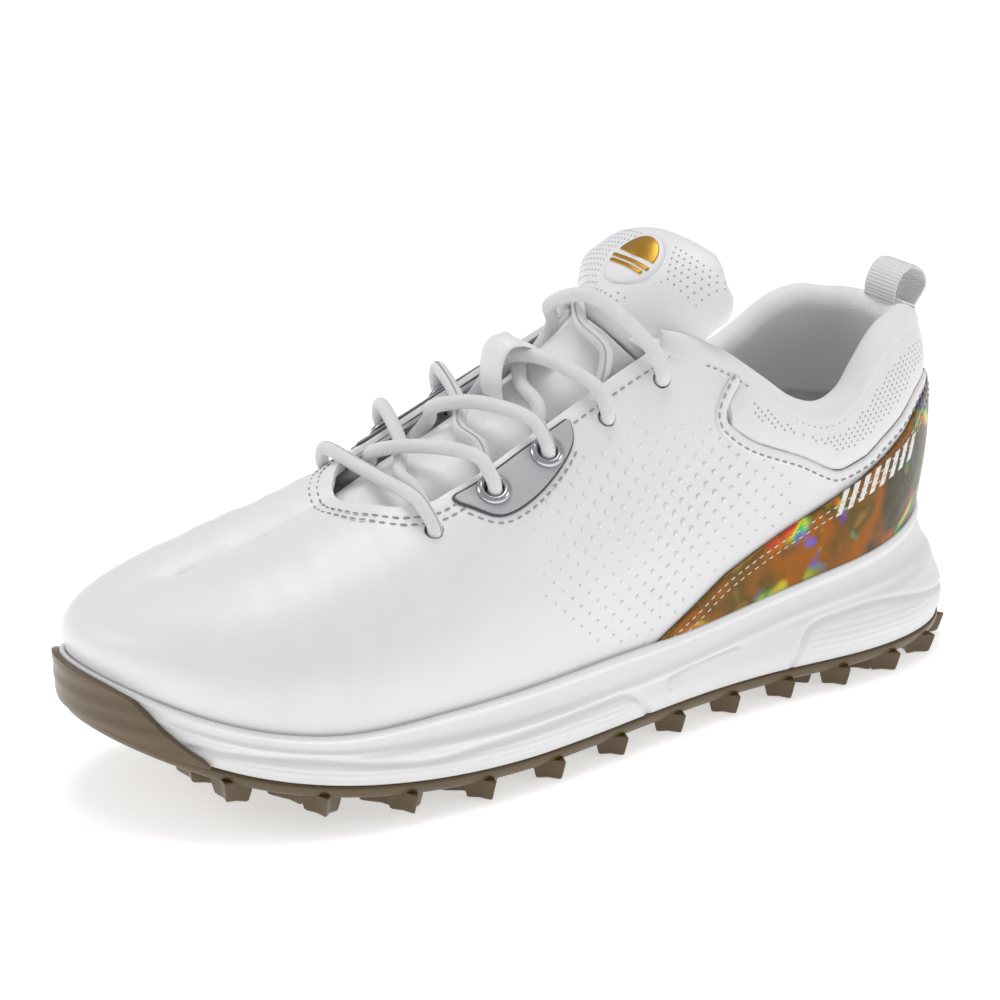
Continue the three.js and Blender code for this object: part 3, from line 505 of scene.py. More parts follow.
def cut(keep: Field, columns: int, rows: int, low: float, high: float,
        span: tuple[float, float] = (0.0, 1.0)) -> Patch:
    """The part of a surface's net where a field is positive, with a clean edge.

    Args:
        keep: Field over rows of u and v.
        columns: Cells round the surface, or along the span.
        rows: Cells from low to high.
        low: Lowest v.
        high: Highest v.
        span: First and last u; the whole round closes on itself.

    Returns:
        The patch.
    """
    closed = span == (0.0, 1.0)
    count = columns if closed else columns + 1
    us = span[0] + (span[1] - span[0]) * np.arange(count) / columns
    vs = np.linspace(low, high, rows + 1)
    uv = np.stack(np.meshgrid(us, vs, indexing="ij"), -1).reshape(-1, 2)
    value = keep(uv)
    ids = np.arange(count * (rows + 1)).reshape(count, rows + 1)
    across = np.roll(ids, -1, 0) if closed else ids[1:]
    base = ids if closed else ids[:-1]
    round_edges = np.stack([base.ravel(), across.ravel()], 1)
    climbing_edges = np.stack([ids[:, :-1].ravel(), ids[:, 1:].ravel()], 1)
    edges = np.vstack([round_edges, climbing_edges])
    a, b = edges[(value[edges[:, 0]] > 0) != (value[edges[:, 1]] > 0)].T
    step = uv[b] - uv[a]
    step[:, 0] -= np.round(step[:, 0])

    def same_side(share: Array) -> Array:
        """Whether the field's sign is still that of the edge's start."""
        return (keep(uv[a] + step * share[:, None]) > 0) == (value[a] > 0)

    lo, hi = bisected(np.zeros(len(a)), np.ones(len(a)), same_side, 12)
    share = (lo + hi) / 2
    spot = uv[a] + step * share[:, None]
    snap = {}
    for i, (p, q, t) in enumerate(zip(a, b, share)):
        for vertex, far in ((p, t), (q, 1 - t)):
            if far < SNAP and far < snap.get(vertex, (1, 0))[0]:
                snap[vertex] = (far, i)
    uv, value = uv.copy(), value.copy()
    for vertex, (_, i) in snap.items():
        uv[vertex], value[vertex] = spot[i], 0.0
    extra, added = {}, []
    for i, (p, q) in enumerate(zip(a, b)):
        if value[p] * value[q] < 0:
            extra[(p, q)] = extra[(q, p)] = len(uv) + len(added)
            added.append(spot[i])
    places = np.vstack([uv, added]) if added else uv
    cells = np.stack([base[:, :-1], across[:, :-1], across[:, 1:], base[:, 1:]], -1).reshape(-1, 4)
    signs = value[cells]
    whole = (signs >= 0).all(1) & (signs > 0).any(1)
    faces = [tuple(c) for c in cells[whole]]
    for cell in cells[(signs > 0).any(1) & (signs < 0).any(1)]:
        ring = []
        for k in range(4):
            p, q = cell[k], cell[(k + 1) % 4]
            if value[p] >= 0:
                ring.append(p)
            if value[p] * value[q] < 0:
                ring.append(extra[(p, q)])
        if len(ring) > 2:
            faces.append(tuple(ring))
    used = sorted({i for f in faces for i in f})
    place = {old: new for new, old in enumerate(used)}
    return Patch(places[used], [tuple(place[i] for i in f) for f in faces])


@dataclass
class Solid:
    """Points and faces of a piece, in mm, with a flat coordinate for its pattern."""

    points: Array
    faces: list[tuple[int, ...]]
    pattern: Array | None = None

    def joined(self, other: "Solid") -> "Solid":
        """Both solids as one.

        Args:
            other: The second solid.

        Returns:
            A solid with the points and faces of both.
        """
        base = len(self.points)
        pattern = None
        if self.pattern is not None and other.pattern is not None:
            pattern = np.vstack([self.pattern, other.pattern])
        faces = self.faces + [tuple(base + i for i in f) for f in other.faces]
        return Solid(np.vstack([self.points, other.points]), faces, pattern)


def slab(patch: Patch, outer: Array, inner: Array, pattern: Array | None = None) -> Solid:
    """A closed layer between two faces of one patch.

    Args:
        patch: The patch.
        outer: Its points on the outer face.
        inner: Its points on the inner face.
        pattern: Flat coordinates of its places.

    Returns:
        The closed solid.
    """
    count = len(patch.uv)
    faces = list(patch.faces) + [tuple(count + i for i in reversed(f)) for f in patch.faces]
    faces += [(b, a, count + a, count + b) for a, b in patch.rim()]
    both = None if pattern is None else np.vstack([pattern, pattern])
    return Solid(np.vstack([outer, inner]), faces, both)


def net(rows: Array, round_u: bool = False, round_v: bool = False, capped: bool = False,
        pattern: Array | None = None) -> Solid:
    """A net of quads over an array of points.

    Args:
        rows: Points of shape (m, n, 3).
        round_u: Whether the last row joins the first.
        round_v: Whether each row closes on itself.
        capped: Whether the first and last rows are filled in.
        pattern: Flat coordinates of shape (m, n, 2).

    Returns:
        The solid.
    """
    m, n = rows.shape[:2]
    ids = np.arange(m * n).reshape(m, n)
    faces = []
    for i in range(m if round_u else m - 1):
        for j in range(n if round_v else n - 1):
            i_next, j_next = (i + 1) % m, (j + 1) % n
            faces.append((ids[i, j], ids[i_next, j], ids[i_next, j_next], ids[i, j_next]))
    if capped:
        faces += [tuple(ids[0]), tuple(ids[-1][::-1])]
    flat = None if pattern is None else pattern.reshape(-1, 2)
    return Solid(rows.reshape(-1, 3), faces, flat)


def swept(line: Array, up: Array, section: Array, scale: Array | None = None) -> Solid:
    """A section carried along a line.

    Args:
        line: Points of the line.
        up: For each point, the direction that the section's second coordinate takes.
        section: Closed outline, rows of across and up.
        scale: Size of the section at each point.

    Returns:
        The solid, closed at both ends, with its pattern in mm along and round it.
    """
    run = unit(np.gradient(line, axis=0))
    across = unit(np.cross(run, up))
    above = np.cross(across, run)
    size = np.ones(len(line)) if scale is None else scale
    rows = line[:, None] + size[:, None, None] * (
        across[:, None] * section[None, :, :1] + above[:, None] * section[None, :, 1:])
    far = np.r_[0, np.cumsum(np.linalg.norm(np.diff(line, axis=0), axis=1))]
    girth = np.r_[0, np.cumsum(np.linalg.norm(np.diff(section, axis=0), axis=1))]
    pattern = np.stack(np.meshgrid(far, girth, indexing="ij"), -1)
    return net(rows, round_v=True, capped=True, pattern=pattern)


def oval(width: float, height: float, count: int, power: float = 2.0) -> Array:
    """A closed oval outline; a power above 2 makes it squarer.

    Args:
        width: Full width.
        height: Full height.
        count: Number of points.
        power: How square it is; 2 is an ellipse.

    Returns:
        The points in order.
    """
    angle = np.arange(count) * 2 * np.pi / count
    c, s = np.cos(angle), np.sin(angle)
    shape = np.stack([np.sign(c) * abs(c) ** (2 / power), np.sign(s) * abs(s) ** (2 / power)], -1)
    return shape * [width / 2, height / 2]


@dataclass(frozen=True)
class Drawn:
    """A line drawn on the upper in a flat view: axes (0, 1) for the plan, (0, 2) for the side."""

    flat: Array
    axes: tuple[int, int]
    side: int = 1

    def places(self) -> Array:
        """The line's places on the surface. In the plan, a point past the ridge is on the other side."""
        if self.axes == (0, 2):
            return LAST.find(self.flat, self.axes, self.side)
        middle = np.interp(self.flat[:, 0], [110, 148, 190, 232, 258], [0, -1, -1, -3, -6])
        outer = self.flat[:, 1] > middle
        uv = np.zeros_like(self.flat)
        for chosen, side in ((outer, 1), (~outer, -1)):
            if chosen.any():
                uv[chosen] = LAST.find(self.flat[chosen], self.axes, side)
        return uv

    def offset(self, distance: float) -> "Drawn":
        """The line moved to its left by a distance over the surface.

        Args:
            distance: How far, in mm; less than 0 moves it to the right.

        Returns:
            The new line.
        """
        run = unit(np.gradient(self.flat, axis=0))
        left = np.stack([-run[:, 1], run[:, 0]], -1)
        normal = LAST.normal(self.places())
        slope = (normal[:, list(self.axes)] * left).sum(1) / np.abs(normal[:, 3 - sum(self.axes)])
        return Drawn(self.flat + left * (distance / np.sqrt(1 + slope**2))[:, None], self.axes, self.side)

    def traced(self, out: float) -> tuple[Array, Array]:
        """Points of the line that far above the surface, and the outward directions."""
        uv = self.places()
        normal = LAST.normal(uv)
        return LAST.point(uv) + normal * out, normal


def stitches(line: Array, normal: Array, pitch: float = 3.1, length: float = 2.1,
             radius: float = 0.25) -> Solid:
    """A row of separate stitches along a line on a surface.

    Args:
        line: Points of the line.
        normal: Outward directions.
        pitch: Distance between two stitches.
        length: Length of one stitch.
        radius: Half its thickness.

    Returns:
        All the stitches as one solid.
    """
    far = np.r_[0, np.cumsum(np.linalg.norm(np.diff(line, axis=0), axis=1))]
    total = None
    section = oval(2.3 * radius, 1.7 * radius, 8)
    for start in np.arange(0.4, far[-1] - length, pitch):
        places = start + length * np.linspace(0, 1, 6)
        spot = np.stack([np.interp(places, far, line[:, k]) for k in range(3)], -1)
        up = unit(np.stack([np.interp(places, far, normal[:, k]) for k in range(3)], -1))
        t = np.linspace(-1, 1, 6)
        arch = radius * 0.9 * (1 - t[:, None] ** 4) - radius * 0.4
        one = swept(spot + up * arch, up, section, 1.05 - 0.75 * t**4)
        total = one if total is None else total.joined(one)
    return total


def domes(spots: Array, normals: Array, radii: Array, height: float, sides: int = 12) -> Solid:
    """Round domes on a surface, or flat discs when the height is small.

    Args:
        spots: Their middles.
        normals: Outward directions.
        radii: Their radii.
        height: Their height.
        sides: Corners round each of them.

    Returns:
        All the domes as one solid.
    """
    points, faces = [], []
    rings = ((1.0, 0.0), (0.82, 0.5), (0.5, 0.86), (0.0, 1.0))
    for spot, up, radius in zip(spots, normals, radii):
        a = unit(np.cross(up, [0.3, 0.5, 0.81]))
        b = np.cross(up, a)
        base = len(points)
        for reach, rise in rings[:-1]:
            for k in range(sides):
                t = 2 * math.pi * k / sides
                around = a * math.cos(t) + b * math.sin(t)
                points.append(spot + radius * reach * around + up * height * rise)
        points.append(spot + up * height)
        for ring in range(2):
            for k in range(sides):
                i, j = base + ring * sides + k, base + ring * sides + (k + 1) % sides
                faces.append((i, j, j + sides, i + sides))
        top = base + 2 * sides
        faces += [(top + k, top + (k + 1) % sides, base + 3 * sides) for k in range(sides)]
        faces.append(tuple(base + k for k in reversed(range(sides))))
    return Solid(np.array(points), faces)


# ------------------------------------------------------------------ finishes
MULTIPLY = {"operation": "MULTIPLY"}
ADD = {"operation": "ADD"}
SINE = {"operation": "SINE"}
COLOURS = {"data_type": "RGBA"}


def linear(colour: str) -> tuple[float, float, float, float]:
    """A linear RGBA colour from an sRGB hex code."""
    parts = [int(colour[i:i + 2], 16) / 255 for i in (1, 3, 5)]
    return (*(c / 12.92 if c <= 0.04045 else ((c + 0.055) / 1.055) ** 2.4 for c in parts), 1.0)


def put(tree: Tree, kind: str, settings: dict | None = None,
        **sockets: object) -> Node:
    """Adds a node, with its settings, and its inputs given as values or as the outputs of other nodes.

    Args:
        tree: Node tree.
        kind: Node type without its leading word, as "TexNoise".
        settings: Attributes of the node.
        **sockets: Input names, with _ for a space, or i0, i1 ... for an input by its number.

    Returns:
        The new node.
    """
    node = tree.nodes.new(f"ShaderNode{kind}")
    for name, value in (settings or {}).items():
        setattr(node, name, value)
    for name, value in sockets.items():
        by_number = name[0] == "i" and name[1:].isdigit()
        socket = node.inputs[int(name[1:])] if by_number else node.inputs[name.replace("_", " ")]
        if isinstance(value, Socket):
            tree.links.new(value, socket)
        else:
            socket.default_value = value
    return node


@dataclass(frozen=True)
class Finish:
    """What all surface finishes have in common: a colour, how rough it is, and its own relief."""

    name: str
    colour: str
    roughness: float = 0.5
    variation: float = 0.03

    def relief(self, tree: Tree, place: Socket) -> Socket | None:
        """Height of the fine relief in mm, over a place in mm."""
        return None

    def settle(self, tree: Tree, shader: Node, place: Socket) -> None:
        """Sets what is particular to the material."""

    def material(self) -> bpy.types.Material:
        """The material, made once."""
        name = f"{self.name}_look"
        if name in bpy.data.materials:
            return bpy.data.materials[name]
        made = bpy.data.materials.new(name)
        made.use_nodes = True
        tree = made.node_tree
        tree.nodes.clear()
        where = put(tree, "TexCoord")
        place = put(tree, "VectorMath", {"operation": "SCALE"}, i0=where.outputs["Object"], Scale=1000.0)
        soft = put(tree, "TexNoise", Vector=place.outputs[0], Scale=0.07, Detail=3.0)
        base = linear(self.colour)
        dark = tuple(c * (1 - 2 * self.variation) for c in base[:3]) + (1.0,)
        tone = put(tree, "Mix", COLOURS, Factor=soft.outputs["Fac"], i6=dark, i7=base)
        shader = put(tree, "BsdfPrincipled", Base_Color=tone.outputs[2], Roughness=self.roughness)
        height = self.relief(tree, place.outputs[0])
        if height is not None:
            bump = put(tree, "Bump", Strength=1.0, Distance=MM, Height=height)
            tree.links.new(bump.outputs["Normal"], shader.inputs["Normal"])
        self.settle(tree, shader, place.outputs[0])
        out = put(tree, "OutputMaterial")
        tree.links.new(shader.outputs[0], out.inputs["Surface"])
        return made


@dataclass(frozen=True)
class Leather(Finish):
    """Coated smooth leather: a soft broad highlight broken by a grain of tiny cells and shallow wrinkles."""

    grain: float = 0.9
    depth: float = 0.03

    def relief(self, tree: Tree, place: Socket) -> Socket:
        """Cells of the grain over slow unevenness."""
        cells = put(tree, "TexVoronoi", {"feature": "SMOOTH_F1"}, Vector=place, Scale=1 / self.grain)
        waves = put(tree, "TexNoise", Vector=place, Scale=0.16, Detail=4.0)
        fine = put(tree, "Math", MULTIPLY, i0=cells.outputs["Distance"], i1=self.depth)
        slow = put(tree, "Math", MULTIPLY, i0=waves.outputs["Fac"], i1=0.25)
        return put(tree, "Math", ADD, i0=fine.outputs[0], i1=slow.outputs[0]).outputs[0]

    def settle(self, tree: Tree, shader: Node, place: Socket) -> None:
        """A thin clear coat gives the second, sharper glint."""
        shader.inputs["Coat Weight"].default_value = 0.18
        shader.inputs["Coat Roughness"].default_value = 0.35
        shader.inputs["IOR"].default_value = 1.5


@dataclass(frozen=True)
class Textile(Finish):
    """Woven or knitted cloth: no highlight, a soft lit edge and a regular weave."""

    pitch: float = 0.7
    depth: float = 0.12

    def relief(self, tree: Tree, place: Socket) -> Socket:
        """Two crossing sets of threads and a little fuzz."""
        turns = 2 * math.pi / self.pitch
        split = put(tree, "SeparateXYZ", Vector=place)
        run = put(tree, "Math", ADD, i0=split.outputs[0], i1=split.outputs[1])
        a = put(tree, "Math", MULTIPLY, i0=run.outputs[0], i1=turns)
        b = put(tree, "Math", MULTIPLY, i0=split.outputs[2], i1=turns)
        sine_a = put(tree, "Math", SINE, i0=a.outputs[0])
        sine_b = put(tree, "Math", SINE, i0=b.outputs[0])
        both = put(tree, "Math", MULTIPLY, i0=sine_a.outputs[0], i1=sine_b.outputs[0])
        fuzz = put(tree, "TexNoise", Vector=place, Scale=1.6, Detail=4.0)
        sum_ = put(tree, "Math", ADD, i0=both.outputs[0], i1=fuzz.outputs["Fac"])
        return put(tree, "Math", MULTIPLY, i0=sum_.outputs[0], i1=self.depth).outputs[0]

    def settle(self, tree: Tree, shader: Node, place: Socket) -> None:
        """The nap catches light at a grazing angle."""
        shader.inputs["Sheen Weight"].default_value = 0.4
        shader.inputs["Sheen Roughness"].default_value = 0.5
        shader.inputs["Specular IOR Level"].default_value = 0.2


@dataclass(frozen=True)
class Moulded(Finish):
    """Moulded foam or polymer: matt skin with a fine even tooth."""

    tooth: float = 0.6
    depth: float = 0.03

    def relief(self, tree: Tree, place: Socket) -> Socket:
        """Even fine noise."""
        noise = put(tree, "TexNoise", Vector=place, Scale=1 / self.tooth, Detail=3.0)
        return put(tree, "Math", MULTIPLY, i0=noise.outputs["Fac"], i1=self.depth).outputs[0]


@dataclass(frozen=True)
class GumRubber(Moulded):
    """Translucent gum rubber: brown in the mass, lighter where it is thin, with a waxy highlight."""

    glow: float = 0.2

    def settle(self, tree: Tree, shader: Node, place: Socket) -> None:
        """Light scatters a few millimetres into the rubber."""
        shader.inputs["Subsurface Weight"].default_value = self.glow
        shader.inputs["Subsurface Radius"].default_value = (1.0, 0.7, 0.35)
        shader.inputs["Subsurface Scale"].default_value = 0.004
        shader.inputs["Coat Weight"].default_value = 0.25
        shader.inputs["Coat Roughness"].default_value = 0.25
        shader.inputs["IOR"].default_value = 1.52


@dataclass(frozen=True)
class Foil(Finish):
    """Copper foil under a diffraction film: its hue slides with the angle of view, and rainbow glint patches
    are painted into its base colour at fixed places as a painted reflection.

    Fields:
        grain: Size in mm of the film's crinkles.
        bands: Places and colours of the copper tones.
        painted_glints: Places and colours of the rainbow glint patches, a painted reflection in the base
            colour.
    """

    grain: float = 0.35
    bands: Stops = (
        (0.0, "#54400f"), (0.42, "#7c5a1c"), (0.58, "#9a7a36"), (0.7, "#5e4c24"), (0.85, "#96581a"),
        (1.0, "#4c4432"))
    painted_glints: Stops = (
        (0.3, "#7a2fd0"), (0.4, "#2f6fe0"), (0.47, "#28c060"), (0.54, "#d8e040"), (0.6, "#f07820"),
        (0.7, "#e03040"))

    def relief(self, tree: Tree, place: Socket) -> Socket:
        """Close crinkles of the film."""
        cells = put(tree, "TexVoronoi", Vector=place, Scale=1 / self.grain)
        slow = put(tree, "TexNoise", Vector=place, Scale=0.12, Detail=5.0)
        fine = put(tree, "Math", MULTIPLY, i0=cells.outputs["Distance"], i1=0.035)
        wide = put(tree, "Math", MULTIPLY, i0=slow.outputs["Fac"], i1=0.5)
        return put(tree, "Math", ADD, i0=fine.outputs[0], i1=wide.outputs[0]).outputs[0]

    def settle(self, tree: Tree, shader: Node, place: Socket) -> None:
        """Painted rainbow glint patches, fixed in place, lie over bands that run with the angle of view."""
        edge = put(tree, "LayerWeight", Blend=0.5)
        slow = put(tree, "TexNoise", Vector=place, Scale=0.05, Detail=3.0)
        sum_ = put(tree, "Math", ADD, i0=edge.outputs["Facing"], i1=slow.outputs["Fac"])
        # Hue of the painted glint patches.
        painted_glint_hue = put(tree, "TexNoise", Vector=place, Scale=0.05, Detail=1.0, Distortion=1.2)
        tones = []
        for factor, stops in ((sum_.outputs[0], self.bands), (painted_glint_hue.outputs["Fac"], self.painted_glints)):
            ramp = put(tree, "ValToRGB", Fac=factor)
            elements = ramp.color_ramp.elements
            while len(elements) < len(stops):
                elements.new(0.5)
            for element, (spot, colour) in zip(elements, stops):
                element.position = spot
                element.color = linear(colour)
            tones.append(ramp.outputs["Color"])
        # Where the painted glint shows: a fixed mask that sets rainbow reflections into the base colour.
        patches = put(tree, "TexNoise", Vector=place, Scale=0.045, Detail=1.5, Distortion=1.4)
        painted_glint_mask = put(tree, "MapRange", Value=patches.outputs["Fac"], From_Min=0.55, From_Max=0.67,
                   To_Min=0.0, To_Max=0.85)
        mixed = put(tree, "Mix", COLOURS, Factor=painted_glint_mask.outputs[0], i6=tones[0], i7=tones[1])
        tree.links.new(mixed.outputs[2], shader.inputs["Base Color"])
        shader.inputs["Metallic"].default_value = 0.75


@dataclass(frozen=True)
class Metal(Finish):
    """Plated or printed metal: a sharp reflection with the faint swirls of polishing."""

    def relief(self, tree: Tree, place: Socket) -> Socket:
        """Almost none: what tumbling leaves on plated brass."""
        noise = put(tree, "TexNoise", Vector=place, Scale=2.5, Detail=4.0)
        return put(tree, "Math", MULTIPLY, i0=noise.outputs["Fac"], i1=0.01).outputs[0]

    def settle(self, tree: Tree, shader: Node, place: Socket) -> None:
        """A conductor all through."""
        shader.inputs["Metallic"].default_value = 1.0


@dataclass(frozen=True)
class CordWeave(Finish):
    """Braided lace: threads that cross on the slant, read on the flat coordinates of the cord."""

    pitch: float = 0.9

    def relief(self, tree: Tree, place: Socket) -> Socket:
        """Slanting threads both ways."""
        flat = put(tree, "UVMap", {"uv_map": "pattern"})
        split = put(tree, "SeparateXYZ", Vector=flat.outputs[0])
        turns = 2 * math.pi / self.pitch
        waves = []
        for operation in ("ADD", "SUBTRACT"):
            run = put(tree, "Math", {"operation": operation}, i0=split.outputs[0], i1=split.outputs[1])
            scaled = put(tree, "Math", MULTIPLY, i0=run.outputs[0], i1=turns)
            waves.append(put(tree, "Math", SINE, i0=scaled.outputs[0]).outputs[0])
        top = put(tree, "Math", {"operation": "MAXIMUM"}, i0=waves[0], i1=waves[1])
        return put(tree, "Math", MULTIPLY, i0=top.outputs[0], i1=0.07).outputs[0]

    def settle(self, tree: Tree, shader: Node, place: Socket) -> None:
        """Polyester thread has a soft lit edge."""
        shader.inputs["Sheen Weight"].default_value = 0.3
        shader.inputs["Specular IOR Level"].default_value = 0.3


@dataclass(frozen=True)
class Ribbon(Finish):
    """Satin ribbon: close ribs across its length and a silky, half-sharp highlight."""

    pitch: float = 1.1

    def relief(self, tree: Tree, place: Socket) -> Socket:
        """Ribs across the length."""
        flat = put(tree, "UVMap", {"uv_map": "pattern"})
        split = put(tree, "SeparateXYZ", Vector=flat.outputs[0])
        turns = 2 * math.pi / self.pitch
        scaled = put(tree, "Math", MULTIPLY, i0=split.outputs[0], i1=turns)
        wave = put(tree, "Math", SINE, i0=scaled.outputs[0])
        return put(tree, "Math", MULTIPLY, i0=wave.outputs[0], i1=0.1).outputs[0]

    def settle(self, tree: Tree, shader: Node, place: Socket) -> None:
        """Silky."""
        shader.inputs["Sheen Weight"].default_value = 0.5
        shader.inputs["Anisotropic"].default_value = 0.5


class Looks:
    """The finishes, with the material slots that they belong to."""

    WHITE = (Leather("white_leather", "#f1f1f2", 0.4), "white_leather")
    PERFORATED = (Leather("perforated_leather", "#efeff1", 0.46, grain=0.7), "perforated_leather")
    LINING = (Textile("lining_textile", "#f0f0f2", 0.9, pitch=0.9, depth=0.035), "lining_textile")
    SOCK = (Textile("sockliner_textile", "#d2d2d6", 0.9, pitch=1.0), "sockliner_textile")
    SILVER = (Leather("silver_grain_leather", "#bcbec1", 0.4, grain=0.6, depth=0.06), "silver_grain")
    EVA = (Moulded("eva_foam_skin", "#f0f0f1", 0.55), "midsole_foam")
    GUM = (GumRubber("gum_rubber", "#5c4826", 0.38), "gum_rubber")
    COPPER = (Foil("copper_foil", "#b5762a", 0.3), "copper_foil")
    NICKEL = (Metal("nickel_plate", "#c4c6ca", 0.2), "nickel")
    GOLD = (Metal("gold_print", "#d0a040", 0.35), "gold_print")
    BOARD = (Moulded("fibre_board", "#b9a98a", 0.9, tooth=1.2, depth=0.15), "board")
    SHANK = (Moulded("shank_polymer", "#3c3f45", 0.5), "shank_polymer")
    LACE = (CordWeave("lace_weave", "#f1f1f2", 0.75), "lace_weave")
    RIBBON = (Ribbon("satin_ribbon", "#ededee", 0.5), "ribbon")
    THREAD = (Textile("grey_thread", "#a9abb0", 0.7, pitch=0.4, depth=0.05), "lace_weave")
    PALE_THREAD = (Textile("pale_thread", "#e8dcc8", 0.7, pitch=0.4, depth=0.05), "lace_weave")
    HOLE = (Moulded("hole_shadow", "#b4b5b9", 0.9), "perforated_leather")
    # Painted shadow: the dark cord round the silver panels stands for the shade that the white leather's cut
    # edge casts on them.
    EDGE_SHADOW = (Moulded("painted_edge_shadow", "#5d5f63", 0.8), "silver_grain")
    PRINT = (Moulded("white_print", "#ecebe6", 0.5), "white_leather")


Look = tuple[Finish, str]
SHARP = math.radians(50)         # an edge that turns by more than this is rounded off


class Body(Enum):
    """The frame's bodies."""

    SHOE = "shoe"
    TONGUE_TOP = "tongue_top"
    PULL_TAB = "pull_tab"


def build(name: str, solid: Solid, look: Look, body: Body = Body.SHOE, nodes: Iterable[str] = (),
          bevel: float = 0.0) -> bpy.types.Object:
    """Makes a piece from a solid in mm and lets it ride on its body.

    Args:
        name: Name of the piece.
        solid: Its points and faces.
        look: Its finish and material slot.
        body: The body it moves with.
        nodes: CAD nodes that it stands in for.
        bevel: Width in mm of the rounding of its sharp edges.

    Returns:
        The new object.
    """
    mesh = bpy.data.meshes.new(name)
    mesh.from_pydata(in_frame(solid.points).tolist(), [], [tuple(int(i) for i in f) for f in solid.faces])
    if solid.pattern is not None:
        layer = mesh.uv_layers.new(name="pattern")
        corners = np.empty(len(mesh.loops), int)
        mesh.loops.foreach_get("vertex_index", corners)
        layer.data.foreach_set("uv", solid.pattern[corners].astype(np.float32).ravel())
    mesh.validate()
    obj = bpy.data.objects.new(name, mesh)
    bpy.context.scene.collection.objects.link(obj)
    work = bmesh.new()
    work.from_mesh(mesh)
    bmesh.ops.recalc_face_normals(work, faces=work.faces)
    work.to_mesh(mesh)
    work.free()
    mesh.polygons.foreach_set("use_smooth", [True] * len(mesh.polygons))
    mesh.materials.append(look[0].material())
    if bevel:
        edge = obj.modifiers.new("edge", "BEVEL")
        edge.width = bevel * MM
        edge.segments = 2
        edge.angle_limit = SHARP
        obj.modifiers.new("shade", "WEIGHTED_NORMAL")
    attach(obj, body.value)
    for node in nodes:
        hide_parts(node)
    log.info("%s rides on %s, %d faces", name, body.value, len(mesh.polygons))
    return obj


# ------------------------------------------------------------------ regions of the upper
def outer_side(uv: Array) -> Array:
    """Whether each place is on the outer side."""
    return uv[:, 0] % 1 < 0.5


def under_topline(points: Array, uv: Array, drop: Array | float = 0.0) -> Array:
    """Height of the topline above each point."""
    limit = np.where(outer_side(uv), TOPLINE_OUTER.at(points[:, 0]), TOPLINE_INNER.at(points[:, 0]))
    return limit - drop - points[:, 2]


def throat_line(widen: float = 0.0, start: float = 92.0) -> Array:
    """Edge of the lacing gap in plan, from the outer side round the front to the inner side.

    Args:
        widen: How far outside the gap's own edge the line lies.
        start: Where on x it starts and ends.

    Returns:
        Points in plan.
    """
    xs = np.r_[np.linspace(start, 200, 60), 210.9 - 10.9 * np.linspace(1, 0, 24)[1:] ** 2]
    half, middle = THROAT.at(xs), THROAT.at(xs, 2)
    reach = xs + widen * np.clip(xs - 185, 0, None) / 26
    one = np.stack([reach, middle + half + widen], -1)
    two = np.stack([reach, middle - half - widen], -1)
    return np.vstack([one, two[::-1][1:]])


def throat(widen: float = 0.0) -> Outline:
    """The lacing gap in plan as an outline."""
    line = throat_line(widen)
    return Outline(np.vstack([[[60, line[0, 1]]], line, [[60, line[-1, 1]]]]))


COLLAR = Outline(np.array([*COLLAR_EDGE, (-30, 240), (88, 240)], float))
OVERLAY = Outline(np.array([*OVERLAY_EDGE, (-30, 0), (126, 0)], float))


def eyelet_frames() -> list[tuple[int, int, Array, Array]]:
    """Row, side, point and outward direction of each eyelet."""
    frames = []
    for row, (x, outer_y, inner_y) in enumerate(EYELETS):
        for side, y in ((1, outer_y), (-1, inner_y)):
            uv = LAST.find(np.array([[x, y]], float), (0, 1), side)
            frames.append((row, side, LAST.point(uv)[0], LAST.normal(uv)[0]))
    return frames


FRAMES = eyelet_frames()


def clear_of_eyelets(points: Array, radius: float) -> Array:
    """Distance from each point to the nearest eyelet's edge.

    Args:
        points: Points in mm.
        radius: Radius of the holes.

    Returns:
        Positive outside the holes.
    """
    best = np.full(len(points), FAR)
    for _, _, at, out in FRAMES:
        gap = points - at
        sideways = np.linalg.norm(gap - np.outer(gap @ out, out), axis=1)
        best = np.minimum(best, sideways + 0.3 * np.abs(gap @ out))
    return best - radius


